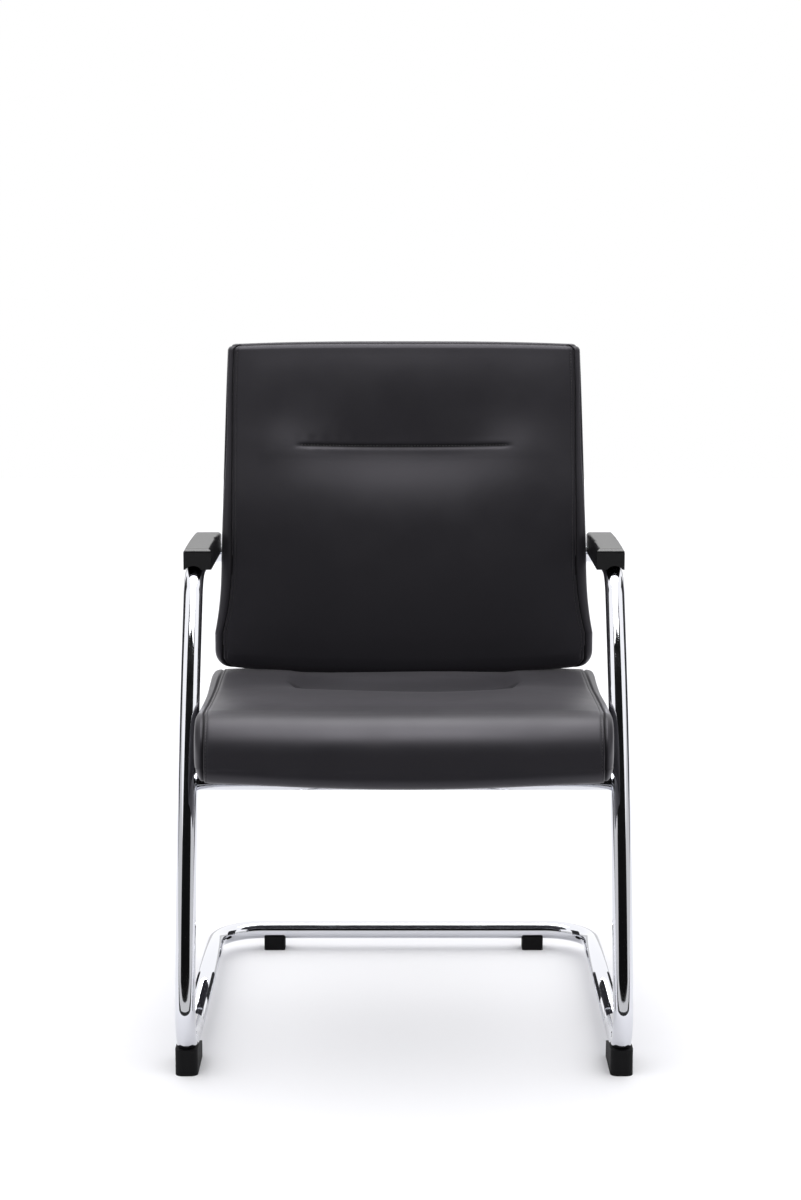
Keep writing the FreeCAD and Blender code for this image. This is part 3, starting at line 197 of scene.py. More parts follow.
@dataclass(frozen=True)
class SatinLeather:
    """Split leather with a satin polyurethane coat, embossed with a fine pebble grain.

    It is near black with a soft wide highlight, and duller in creases and sewn seams, where its colour is
    also darkened as painted shade. The pairs of colours and of specular levels run from open leather to the
    deepest painted shade.
    """

    name: str = "satin_coated_leather"
    # The second colour is painted shade, for the bottom of seams, topstitch and the tuck.
    colours: tuple[str, str] = ("#1b1a1e", "#070708")
    specular: Span = (0.3, 0.04)
    roughness: Span = (0.38, 0.45)
    tint: str = "#f9f5ff"
    haze: float = 0.15
    haze_roughness: float = 0.45
    pebble: float = 1.5 * MM
    pebble_relief: float = 0.2 * MM
    pebble_strength: float = 0.10
    mottle: float = 60 * MM
    mottle_detail: float = 3.0
    mottle_span: Span = (0.3, 0.7)

    def material(self) -> Material:
        """Build the node material.

        Returns:
            The material.
        """
        material, tree, shader = start_material(self.name)
        place = object_place(tree)
        # Pebbles of the embossing roll, drawn with soft borders.
        settings = {"feature": "SMOOTH_F1", "Scale": 1 / self.pebble}
        pebbles = add(tree, "ShaderNodeTexVoronoi", settings, {"Vector": place}).outputs["Distance"]
        mottle = noise(tree, place, self.mottle, self.mottle_detail)
        # Painted shade: the cushion's attribute darkens the colour and lowers the specular level in seams and
        # the tuck.
        crease = add(tree, "ShaderNodeAttribute", {"attribute_name": PAINTED_CREASE_SHADE}).outputs["Fac"]
        values = {
            "Specular Tint": linear(self.tint),
            "Sheen Weight": self.haze,
            "Sheen Roughness": self.haze_roughness,
            "Sheen Tint": linear(self.tint),
        }
        links = {
            "Base Color": between(tree, self.colours, crease),
            "Roughness": remap(tree, mottle, self.mottle_span, self.roughness),
            "Specular IOR Level": remap(tree, crease, WHOLE, self.specular),
            "Normal": emboss(tree, pebbles, self.pebble_strength, self.pebble_relief),
        }
        wire(shader, values, links)
        return material


@dataclass(frozen=True)
class ChromePlate:
    """Bright chrome on polished steel tube: a mirror with a faint veil of wiping marks."""

    name: str = "bright_chrome_plate"
    colour: str = "#d4d5da"
    roughness: Span = (0.03, 0.07)
    veil: float = 25 * MM
    veil_detail: float = 5.0
    veil_span: Span = (0.35, 0.7)

    def material(self) -> Material:
        """Build the node material.

        Returns:
            The material.
        """
        material, tree, shader = start_material(self.name)
        veil = noise(tree, object_place(tree), self.veil, self.veil_detail)
        links = {"Roughness": remap(tree, veil, self.veil_span, self.roughness)}
        wire(shader, {"Base Color": linear(self.colour), "Metallic": 1.0}, links)
        return material


@dataclass(frozen=True)
class GrainedSurface:
    """Moulded, painted, woven or sawn surface: a colour that drifts, and a grain in the bump.

    The named finishes below give the eye its tone, gloss and grain.
    """

    name: str
    colours: tuple[str, str]
    roughness: Span
    grain: float
    relief: float
    metallic: float = 0.0
    specular: float = 0.5
    stretch: Place = (1.0, 1.0, 1.0)
    strength: float = 0.25
    detail: float = 4.0
    grain_span: Span = (0.3, 0.7)

    def material(self) -> Material:
        """Build the node material.

        Returns:
            The material.
        """
        material, tree, shader = start_material(self.name)
        laid = add(tree, "ShaderNodeMapping", {"Scale": self.stretch}, {"Vector": object_place(tree)})
        grain = noise(tree, laid.outputs["Vector"], self.grain, self.detail)
        links = {
            "Base Color": between(tree, self.colours, grain),
            "Roughness": remap(tree, grain, self.grain_span, self.roughness),
            "Normal": emboss(tree, grain, self.strength, self.relief),
        }
        wire(shader, {"Metallic": self.metallic, "Specular IOR Level": self.specular}, links)
        return material


# Spark-eroded polypropylene on the arm pads: black that goes pale at grazing light.
PAD_PLASTIC = GrainedSurface("eroded_polypropylene", ("#08080a", "#0c0c0e"), (0.24, 0.3), 0.5 * MM, 0.01 * MM)
# Moulded thermoplastic rubber of the feet: deep black, dull.
FOOT_RUBBER = GrainedSurface(
    "moulded_rubber", ("#09090a", "#0e0e10"), (0.55, 0.7), 1.2 * MM, 0.06 * MM, specular=0.12
)
# Embossed polypropylene sheet behind the backrest: dark grey, half dull.
PANEL_PLASTIC = GrainedSurface("embossed_panel", ("#151517", "#1b1b1d"), (0.42, 0.55), 1.4 * MM, 0.12 * MM)
# Black powder paint on pressed steel: slight orange peel.
BLACK_PAINT = GrainedSurface("powder_paint", ("#121214", "#18181a"), (0.3, 0.42), 2.0 * MM, 0.05 * MM)
# Zinc plate on small fasteners: cool grey with a soft sheen.
ZINC = GrainedSurface("zinc_plate", ("#a9adb3", "#bfc3c8"), (0.22, 0.38), 3.0 * MM, 0.02 * MM, metallic=1.0)
# Birch plywood, sanded: long pale streaks across the board.
PLYWOOD = GrainedSurface(
    "birch_plywood", ("#c9a678", "#a98457"), (0.55, 0.7), 8.0 * MM, 0.05 * MM, stretch=(0.12, 1.0, 1.0)
)
# Spun-bonded lining under the seat: matt black felt.
LINING = GrainedSurface("spunbond_lining", ("#141416", "#1f1f22"), (0.85, 0.95), 1.6 * MM, 0.2 * MM)
# Polyester thread, twisted: slightly shiny black.
THREAD = GrainedSurface("polyester_thread", ("#1f1e21", "#2a292d"), (0.4, 0.55), 0.6 * MM, 0.05 * MM)


def both(*stems: str) -> tuple[str, ...]:
    """Names of the left and the right node of each stem."""
    return tuple(f"{stem}_{side.word}" for stem in stems for side in Side)


NODE_FINISHES: dict[GrainedSurface, tuple[str, ...]] = {
    PAD_PLASTIC: both("arm_pad"),
    FOOT_RUBBER: both("toe_foot", "rear_foot", "rail_plug"),
    PANEL_PLASTIC: ("back_rear_panel",),
    BLACK_PAINT: both("seat_plate", "angle_iron"),
    ZINC: (
        "runner_spigots", "arm_pad_screws", "seat_t_nuts", "seat_bolts", "seat_washers", "back_t_nuts",
        "angle_iron_bolts", "angle_iron_washers", "rail_bolts", "rail_saddle_washers", "rail_spacers",
    ),
    PLYWOOD: ("seat_board", "back_board"),
    LINING: ("seat_under_cover",),
}


def unit(vectors: Array) -> Array:
    """Scale vectors to length one along the last axis."""
    return vectors / np.maximum(np.linalg.norm(vectors, axis=-1, keepdims=True), TINY)


def smooth_step(values: Array, low: float, high: float) -> Array:
    """Rise from 0 at low to 1 at high along the cubic 3t^2 - 2t^3."""
    share = np.clip((values - low) / (high - low), 0.0, 1.0)
    return share * share * (3 - 2 * share)


def bell(distance: Array, width: float | Array) -> Array:
    """Bell of a distance: e to the minus square of distance over width."""
    return np.exp(-((distance / width) ** 2))


def place_object(name: str, data: bpy.types.ID) -> Piece:
    """Make an object.

    Args:
        name: name of the object.
        data: its mesh, lamp or camera.

    Returns:
        The object, linked to the scene at the origin.
    """
    thing = bpy.data.objects.new(name, data)
    bpy.context.scene.collection.objects.link(thing)
    return thing


def smooth_object(name: str, points: Array, faces: list[list[int]]) -> Piece:
    """Make a smooth-shaded mesh.

    Args:
        name: name of the object.
        points: array whose last axis is X, Y, Z.
        faces: numbers of each face's corners.

    Returns:
        The object, linked to the scene at the origin.
    """
    mesh = bpy.data.meshes.new(name)
    mesh.from_pydata(points.reshape(-1, 3).tolist(), [], faces)
    mesh.shade_smooth()
    mesh.update()
    return place_object(name, mesh)


def ring_faces(index: Array) -> tuple[Array, Array]:
    """Faces of tubes of closed rings.

    Args:
        index: numbers of points, with rings and points in a ring on the last two axes.

    Returns:
        Corners of the faces between neighbouring rings, and of the faces on the first and last rings.
    """
    after = np.roll(index, -1, axis=-1)
    corners = [index[..., :-1, :], after[..., :-1, :], after[..., 1:, :], index[..., 1:, :]]
    caps = np.stack([index[..., 0, ::-1], index[..., -1, :]])
    return np.stack(corners, axis=-1).reshape(-1, 4), caps.reshape(-1, index.shape[-1])


def grid_object(name: str, points: Array) -> Piece:
    """Make a mesh from rings of points, each closed on itself, with a face on the first and last ring.

    Args:
        name: name of the object.
        points: array of rings, points in a ring, and X, Y, Z.

    Returns:
        The object, with its faces outwards: their volume, a sum of triple products, is above zero.
    """
    quads, caps = ring_faces(np.arange(points[..., 0].size).reshape(points.shape[:2]))
    flat = points.reshape(-1, 3)
    corners = flat[quads] - flat.mean(axis=0)
    volume = np.einsum("ij,ij->", corners[:, 0], np.cross(corners[:, 1], corners[:, 2]))
    volume += np.einsum("ij,ij->", corners[:, 0], np.cross(corners[:, 2], corners[:, 3]))
    way = -1 if volume < 0 else 1
    return smooth_object(name, points, quads[:, ::way].tolist() + caps[:, ::way].tolist())


def grid_normals(points: Array) -> Array:
    """Outward normals of a grid of closed rings, from the cross product of its two directions.

    Args:
        points: array of rings, points in a ring, and X, Y, Z.

    Returns:
        A normal at each point.
    """
    around = np.roll(points, -1, axis=1) - np.roll(points, 1, axis=1)
    normals = unit(np.cross(around, np.gradient(points, axis=0)))
    outward = points - points.mean(axis=(0, 1))
    return normals * np.sign(np.sum(normals * outward))


def upsample(field: Array, factor: int) -> Array:
    """Spread a coarse grid of values over a grid that is finer by a whole factor.

    Args:
        field: values on the coarse rings; the rings are closed.
        factor: how many fine steps lie in a coarse step.

    Returns:
        Values on the fine rings, in straight lines between the coarse ones.
    """
    ring_places = np.arange((field.shape[0] - 1) * factor + 1) / factor
    low = np.minimum(ring_places.astype(int), field.shape[0] - 2)
    share = (ring_places - low)[:, None]
    tall = field[low] * (1 - share) + field[low + 1] * share
    point_places = np.arange(field.shape[1] * factor) / factor
    first = point_places.astype(int)
    share = (point_places - first)[None]
    return tall[:, first] * (1 - share) + tall[:, (first + 1) % field.shape[1]] * share


def even_out(field: Array) -> Array:
    """Average each value of a grid, counted twice, with its four neighbours.

    Args:
        field: values on closed rings.

    Returns:
        The averages.
    """
    tall = np.pad(field, ((1, 1), (0, 0)), mode="edge")
    along = tall[:-2] + tall[2:]
    around = np.roll(field, 1, axis=1) + np.roll(field, -1, axis=1)
    return (2 * field + along + around) / 6


@dataclass(frozen=True)
class ClothFill:
    """Cloth simulation whose pressure fills a cushion that is held along its seams."""

    quality: int = 6
    pressure: float = 4.0
    frames: int = 20
    evenings: int = 6

    def puff(self, points: Array, sewn: Array, most: float) -> Array:
        """Fill a cushion.

        Args:
            points: coarse rings of the cushion.
            sewn: true where the cover is sewn or glued down.
            most: furthest that any point may move.

        Returns:
            How far each point puffs out, evened out over its neighbours.
        """
        bag = grid_object("cloth_bag", points)
        held = bag.vertex_groups.new(name="sewn")
        held.add(np.flatnonzero(sewn.reshape(-1)).tolist(), 1.0, "REPLACE")
        cloth = bag.modifiers.new("cloth", "CLOTH")
        cloth.settings.quality = self.quality
        cloth.settings.use_pressure = True
        cloth.settings.uniform_pressure_force = self.pressure
        cloth.settings.effector_weights.gravity = 0.0
        cloth.settings.vertex_group_mass = held.name
        cloth.point_cache.frame_start = 1
        cloth.point_cache.frame_end = self.frames
        scene = bpy.context.scene
        for frame in range(1, self.frames + 1):
            scene.frame_set(frame)
        filled = bag.evaluated_get(bpy.context.evaluated_depsgraph_get()).data
        flat = np.empty(len(filled.vertices) * 3)
        filled.vertices.foreach_get("co", flat)
        moves = flat.reshape(points.shape) - points
        scene.frame_set(1)
        mesh = bag.data
        bpy.data.objects.remove(bag)
        bpy.data.meshes.remove(mesh)
        puff = np.sum(moves * grid_normals(points), axis=-1)
        LOG.info("cloth puffed by %.1f mm at most, capped at %.1f mm", puff.max() / MM, most / MM)
        puff = np.clip(puff, 0.0, most)
        for _ in range(self.evenings):
            puff = even_out(puff)
        return puff


@dataclass
class Tilted:
    """Directions of the seat and the backrest, tilted back about the cross tube under the seat."""

    angle: float = 3.0

    def __post_init__(self) -> None:
        """Take the origin from the cross tube of the CAD frame."""
        low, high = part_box("seat_cross_tube")
        self.origin = np.array((low + high) / 2)
        turn = math.radians(self.angle)
        self.axes = np.array(
            [[1, 0, 0], [0, math.cos(turn), -math.sin(turn)], [0, math.sin(turn), math.cos(turn)]]
        )

    def world(self, local: Array) -> Array:
        """Points of the CAD frame from distances across, along and square to the tilted seat."""
        return self.origin + local @ self.axes


def run(start: Array, finish: Array, count: int) -> Array:
    """Straight stretches between two sets of points, one row per ring, without the last point."""
    share = np.linspace(0, 1, count, endpoint=False)[None, :, None]
    return start[:, None] * (1 - share) + finish[:, None] * share


@dataclass(frozen=True)
class Corner:
    """Rounded corners in all rings of a grid: a centre and a radius for each ring."""

    centre: Array
    radius: Array

    @classmethod
    def inside(cls, first: Array, second: Array, radius: Array, ways: tuple[int, int]) -> Corner:
        """Corners that touch an edge on each axis, with the signs of the ways to their centres."""
        return cls(np.stack([first + ways[0] * radius, second + ways[1] * radius], axis=-1), radius)

    def mirrored(self) -> Corner:
        """The same corners on the other side of the first axis."""
        return Corner(self.centre * np.array([-1.0, 1.0]), self.radius)

    def rim(self, ways: tuple[int, int]) -> Array:
        """Points one radius from the centres, along one of the axes."""
        return self.centre + np.stack([self.radius * ways[0], self.radius * ways[1]], axis=-1)

    def turn(self, first: float, last: float, count: int) -> Array:
        """Round stretches, one row per ring, without the last point; angles in degrees."""
        angle = np.radians(np.linspace(first, last, count, endpoint=False))[:, None]
        return self.centre[:, None] + self.radius[:, None, None] * np.hstack([np.cos(angle), np.sin(angle)])


@dataclass(frozen=True)
class Dip:
    """Sewn groove or soft valley along a line: a bell, with another width on its positive side if given.

    A depth below zero makes a bulge. The painted shade says how much darker the leather's colour is painted
    at the bottom.
    """

    depth: float
    width: float
    other_width: float | None = None
    shade: float = 0.0

    def cut(self, distance: Array, reach: Array | float = 1.0) -> Array:
        """Depths and painted shades at distances from the line, times the share by which the dip reaches
        there.
        """
        share = bell(distance, np.where(distance > 0, self.other_width or self.width, self.width)) * reach
        return np.stack([self.depth * share, self.shade * share])


@dataclass
class Stitching:
    """Rows of lock stitches, each a small round-ended stitch that dips into the leather."""

    pitch: float = 4.2 * MM
    length: float = 3.2 * MM
    thickness: float = 0.7 * MM
    sunk: float = 0.15 * MM
    around: int = 6
    rings: int = 5
    tip: float = 0.08

    def row(self, line: Array, normals: Array) -> Array:
        """Stitches along a line on a surface.

        Each stitch is a ring carried along its own length: the radius swells as the root of a sine and the
        middle rises off the leather by half a thread, less what it sinks in.

        Args:
            line: points of the line.
            normals: outward normals at those points.

        Returns:
            Points as stitches, rings, points in a ring, and X, Y, Z.
        """
        steps = np.linalg.norm(np.diff(line, axis=0), axis=1)
        reach = np.concatenate([[0], np.cumsum(steps)])
        count = max(int(reach[-1] / self.pitch), 1)
        starts = (np.arange(count) + 0.5) * reach[-1] / count
        places = starts[:, None] + np.linspace(-0.5, 0.5, self.rings)[None] * self.length
        spine, outward = (
            np.stack([np.interp(places, reach, values[:, axis]) for axis in range(3)], axis=-1)
            for values in (line, normals)
        )
        outward = unit(outward)
        beside = unit(np.cross(outward, unit(np.gradient(spine, axis=1))))
        swell = np.sqrt(np.sin(np.linspace(self.tip, np.pi - self.tip, self.rings)))
        angle = np.linspace(0, 2 * np.pi, self.around, endpoint=False)
        ring = outward[:, :, None] * np.sin(angle)[None, None, :, None]
        ring = ring + beside[:, :, None] * np.cos(angle)[None, None, :, None]
        lift = outward * (swell * self.thickness * 0.5 - self.sunk)[None, :, None]
        return (spine + lift)[:, :, None] + ring * (swell * self.thickness / 2)[None, :, None, None]

    def piece(self, name: str, rows: list[Array]) -> Piece:
        """One mesh of all the stitches of a cushion.

        Args:
            name: name of the piece.
            rows: stitches of each row.

        Returns:
            The thread's object.
        """
        stitches = np.concatenate(rows)
        quads, caps = ring_faces(np.arange(stitches[..., 0].size).reshape(stitches.shape[:3]))
        thread = smooth_object(name, stitches, quads.tolist() + caps.tolist())
        thread.data.materials.append(THREAD.material())
        return thread


@dataclass
class Cushion(ABC):
    """Sewn leather cushion: closed rings of points that cloth pressure fills and that sewing draws in.

    The step counts of a cushion are those of its coarse rings, and detail says how many steps of its own
    rings lie in a coarse one.
    """

    frame: Tilted
    name: str
    fill: float
    detail: int

    @property
    @abstractmethod
    def rings(self) -> Array:
        """Rings of points, in distances across, along and up."""

    @property
    @abstractmethod
    def sewn(self) -> Array:
        """True at points that sewing or glue holds while the cushion is filled."""

    @property
    @abstractmethod
    def sewing(self) -> Array:
        """Depths that the sewing draws in, and the painted shade that it gives the leather's colour."""

    @abstractmethod
    def stitch_lines(self, points: Array, normals: Array) -> list[tuple[Array, Array]]:
        """Lines of stitches on the finished points, each with the normals along it."""

    def build(self) -> tuple[Piece, Piece]:
        """Make the cushion and its stitching.

        Coarse rings are filled as cloth. Fine ones puff out along their normals by as much, and the sewing
        then draws them in.

        Returns:
            The cushion and the thread.
        """
        coarse = replace(self, detail=1)
        puff = ClothFill().puff(self.frame.world(coarse.rings), coarse.sewn, self.fill)
        points = self.frame.world(self.rings)
        points = points + grid_normals(points) * upsample(puff, self.detail)[..., None]
        depth, shade = self.sewing
        points = points - grid_normals(points) * depth[..., None]
        cushion = grid_object(f"{self.name}_cushion", points)
        # Attribute of painted shade: it darkens the leather's colour in seams, topstitch, top edge and tuck.
        crease = cushion.data.attributes.new(PAINTED_CREASE_SHADE, "FLOAT", "POINT")
        crease.data.foreach_set("value", np.clip(shade, 0, 1).reshape(-1).astype(np.float32))
        stitches = Stitching()
        rows = [stitches.row(*line) for line in self.stitch_lines(points, grid_normals(points))]
        return cushion, stitches.piece(f"{self.name}_stitching", rows)


@dataclass
class SeatCushion(Cushion):
    """Thick seat with a rounded waterfall front, a wide panel, two side cheeks and one curved tuck."""

    name: str = "seat"
    fill: float = 5 * MM
    detail: int = 4

    half_width: float = 252 * MM
    taper: float = -0.6
    front: float = 147 * MM
    front_bow: float = 30 * MM
    rear: float = 306 * MM
    base: float = 15 * MM
    thickness: float = 83 * MM
    crown: float = 3 * MM
    waterfall: float = 52 * MM
    lip: float = 17 * MM
    rear_radius: float = 14 * MM
    heel: float = 12 * MM
    side_roll: float = 20 * MM
    top_roll: float = 14 * MM
    under_roll: float = 40 * MM
    front_roll: float = 26 * MM
    rear_roll: float = 10 * MM
    fullness: float = 3.0
    rear_lift: float = 5 * MM
    rear_fill: float = 0.6
    rear_zone: Span = (200 * MM, 30 * MM)
    outer_zone: Span = (90 * MM, 190 * MM)
    upper_zone: Span = (0.4, 0.8)
    low_zone: Span = (0.0, 0.6)
    lip_sag: float = 2.5 * MM
    lip_lift: float = 4 * MM
    lip_zone: float = 60 * MM
    seam: float = 241 * MM
    stitch_offset: float = 4.5 * MM
    tuck_half_span: float = 145 * MM
    tuck_front: float = 91 * MM
    tuck_depth: float = 66 * MM
    tuck_fade: Span = (14 * MM, 10 * MM)
    tuck_zone: Span = (0.7, 0.9)
    tuck_points: int = 121

    # Each dip's painted shade darkens the leather's colour along its groove.
    seam_dip: Dip = Dip(1.8 * MM, 1.7 * MM, shade=1.0)
    stitch_dip: Dip = Dip(0.5 * MM, 1.3 * MM, shade=0.3)
    tuck_dip: Dip = Dip(4.5 * MM, 4.5 * MM, shade=1.0)
    valley: Dip = Dip(6.0 * MM, 45 * MM, 22 * MM)
    ripple: float = 0.8 * MM
    ripple_lengths: Span = (46 * MM, 58 * MM)
    ripple_phase: float = 1.0
    ripple_floor: float = 20 * MM

    seam_grip: float = 4 * MM
    under_grip: float = 12 * MM
    rear_grip: float = 8 * MM
    tuck_grip: float = 6 * MM

    roll_steps: int = 12
    flat_steps: int = 22
    heel_steps: int = 3
    rear_steps: int = 5
    shoulder_steps: int = 5
    top_steps: int = 36
    fall_steps: int = 14
    face_steps: int = 2
    lip_steps: int = 5
    under_steps: int = 12

    @property
    def tuck_radius(self) -> float:
        """Radius of the tuck's circle, from its half span and its depth."""
        return (self.tuck_half_span**2 + self.tuck_depth**2) / (2 * self.tuck_depth)

    @property
    def top_start(self) -> int:
        """Coarse step at which a profile's top starts."""
        return self.heel_steps + self.rear_steps + self.shoulder_steps

    def levels(self, shares: Span) -> Span:
        """Heights at two shares of the thickness."""
        return self.base + self.thickness * shares[0], self.base + self.thickness * shares[1]

    @cached_property
    def stations(self) -> tuple[Array, Array]:
        """Signed distances across, and shares from 0 to 1 by which the cushion has rolled in there.

        The roll is a quarter of a superellipse: (x/a)^p + (y/b)^p = 1.
        """
        flat = self.half_width - self.side_roll
        power = 2 / self.fullness
        angle = np.linspace(0, np.pi / 2, self.roll_steps * self.detail + 1)
        rolled = flat + self.side_roll * np.sin(angle) ** power
        inset = 1 - np.cos(angle) ** power
        inner = np.linspace(0, flat, self.flat_steps * self.detail, endpoint=False)
        across = np.concatenate([inner, rolled])
        insets = np.concatenate([np.zeros_like(inner), inset])
        return np.concatenate([-across[:0:-1], across]), np.concatenate([insets[:0:-1], insets])

    @cached_property
    def rings(self) -> Array:
        """Side profiles at every station, in distances across, along and up.

        A profile is a rectangle with four rounded corners; its sides move in with the roll.
        """
        across, inset = self.stations
        spread = across / self.half_width
        full = self.thickness + self.crown * (1 - spread**2)
        top = self.base + full - self.top_roll * inset
        bottom = self.base + self.under_roll * inset
        front = self.front_bow * spread**2 - self.front + self.front_roll * inset
        rear = self.rear - self.rear_roll * inset
        share = (top - bottom) / full
        heel = Corner.inside(rear, bottom, self.heel * share, (-1, 1))
        shoulder = Corner.inside(rear, top, self.rear_radius * share, (-1, -1))
        fall = Corner.inside(front, top, self.waterfall * share, (1, -1))
        lip = Corner.inside(front, bottom, self.lip * share, (1, 1))
        detail = self.detail
        stretches = [
            heel.turn(-90, 0, self.heel_steps * detail),
            run(heel.rim((1, 0)), shoulder.rim((1, 0)), self.rear_steps * detail),
            shoulder.turn(0, 90, self.shoulder_steps * detail),
            run(shoulder.rim((0, 1)), fall.rim((0, 1)), self.top_steps * detail),
            fall.turn(90, 180, self.fall_steps * detail),
            run(fall.rim((-1, 0)), lip.rim((-1, 0)), self.face_steps * detail),
            lip.turn(180, 270, self.lip_steps * detail),
            run(lip.rim((0, -1)), heel.rim((0, -1)), self.under_steps * detail),
        ]
        return self.settle(np.concatenate(stretches, axis=1))

    def settle(self, profiles: Array) -> Array:
        """Taper the profiles, let the lip sag in the middle and lift the rear's outer edges.

        Args:
            profiles: distances along and up at every station.

        Returns:
            Array of rings, points and the distances across, along and up.
        """
        across, inset = self.stations
        spread = across / self.half_width
        along, up = np.moveaxis(profiles, -1, 0)
        narrowing = math.tan(math.radians(self.taper)) * spread
        wide = across[:, None] - narrowing[:, None] * (along + self.front)
        low = 1 - smooth_step(up, *self.levels(self.low_zone))
        fore = 1 - smooth_step(along, -self.front, self.lip_zone - self.front)
        sag = self.lip_sag - (self.lip_sag + self.lip_lift) * spread[:, None] ** 2
        aft = smooth_step(along, self.rear - self.rear_zone[0], self.rear - self.rear_zone[1])
        upper = smooth_step(up, *self.levels(self.upper_zone))
        outer = smooth_step(np.abs(across), *self.outer_zone)
        lift = self.rear_lift * outer + self.rear_fill * self.top_roll * inset
        return np.stack([wide, along, up - sag * low * fore + lift[:, None] * aft * upper], axis=-1)

    @property
    def seam_distance(self) -> Array:
        """Distance of each station over the leather from the side seam, below zero towards the middle."""
        across, inset = self.stations
        steps = np.hypot(np.diff(across), np.diff(inset) * self.top_roll)
        reach = np.concatenate([[0], np.cumsum(steps)])
        reach -= reach[len(reach) // 2]
        return np.abs(reach) - np.interp(self.seam, across, reach)

    @property
    def tuck(self) -> tuple[Array, Array]:
        """Distances from the tuck's circle, below zero behind it, and how far the sewing reaches there."""
        centre = self.tuck_front + self.tuck_radius
        across, along, up = np.moveaxis(self.rings, -1, 0)
        distance = np.hypot(across, along - centre) - self.tuck_radius
        inner, outer = self.tuck_half_span - self.tuck_fade[0], self.tuck_half_span + self.tuck_fade[1]
        reach = 1 - smooth_step(np.abs(across), inner, outer)
        return distance, reach * smooth_step(up, *self.levels(self.tuck_zone)) * (along < centre)

    @property
    def sewn(self) -> Array:
        """True at points held by the seams, the underside, the rear and the tuck."""
        seams = np.abs(self.seam_distance) < self.seam_grip
        under = self.rings[..., 2] < self.base + self.under_grip
        behind = self.rings[..., 1] > self.rear - self.rear_grip
        distance, reach = self.tuck
        return seams[:, None] | under | behind | ((np.abs(distance) < self.tuck_grip) & (reach > SEWN_SHARE))

    @property
    def sewing(self) -> Array:
        """Depths and painted shades of seams, topstitch and tuck, and a ripple: a sine across times one
        along.
        """
        across, along, up = np.moveaxis(self.rings, -1, 0)
        seam = self.seam_distance[:, None]
        distance, reach = self.tuck
        drawn = self.seam_dip.cut(seam) + self.stitch_dip.cut(seam + self.stitch_offset)
        drawn = drawn + self.tuck_dip.cut(distance, reach) + self.valley.cut(distance, reach)
        waves = np.sin(across / self.ripple_lengths[0])
        waves = waves * np.sin(along / self.ripple_lengths[1] + self.ripple_phase)
        drawn[0] += self.ripple * waves * (up > self.base + self.ripple_floor)
        return drawn

    def stitch_lines(self, points: Array, normals: Array) -> list[tuple[Array, Array]]:
        """Topstitch beside both seams, and the tuck's line at the height of the nearest point of the top.

        Args:
            points: finished rings of the cushion.
            normals: their normals.

        Returns:
            Points of each line and the normals there.
        """
        lip_end = self.top_start + self.top_steps + self.fall_steps + self.face_steps + self.lip_steps
        shown = slice(self.heel_steps * self.detail, lip_end * self.detail)
        stitched = np.flatnonzero(np.diff(np.sign(self.seam_distance + self.stitch_offset)))
        lines = [(points[row, shown], normals[row, shown]) for row in stitched]
        angle = np.linspace(-1, 1, self.tuck_points) * math.asin(self.tuck_half_span / self.tuck_radius)
        across = self.tuck_radius * np.sin(angle)
        along = self.tuck_front + self.tuck_radius * (1 - np.cos(angle))
        up = np.full_like(across, self.base + self.thickness)
        line = self.frame.world(np.stack([across, along, up], axis=-1))
        top = slice(self.top_start * self.detail, (self.top_start + self.top_steps) * self.detail)
        choice = points[:, top].reshape(-1, 3)
        gaps = np.hypot(choice[None, :, 0] - line[:, None, 0], choice[None, :, 1] - line[:, None, 1])
        nearest = np.argmin(gaps, axis=1)
        line[:, 2] = choice[nearest, 2]
        return [*lines, (line, normals[:, top].reshape(-1, 3)[nearest])]


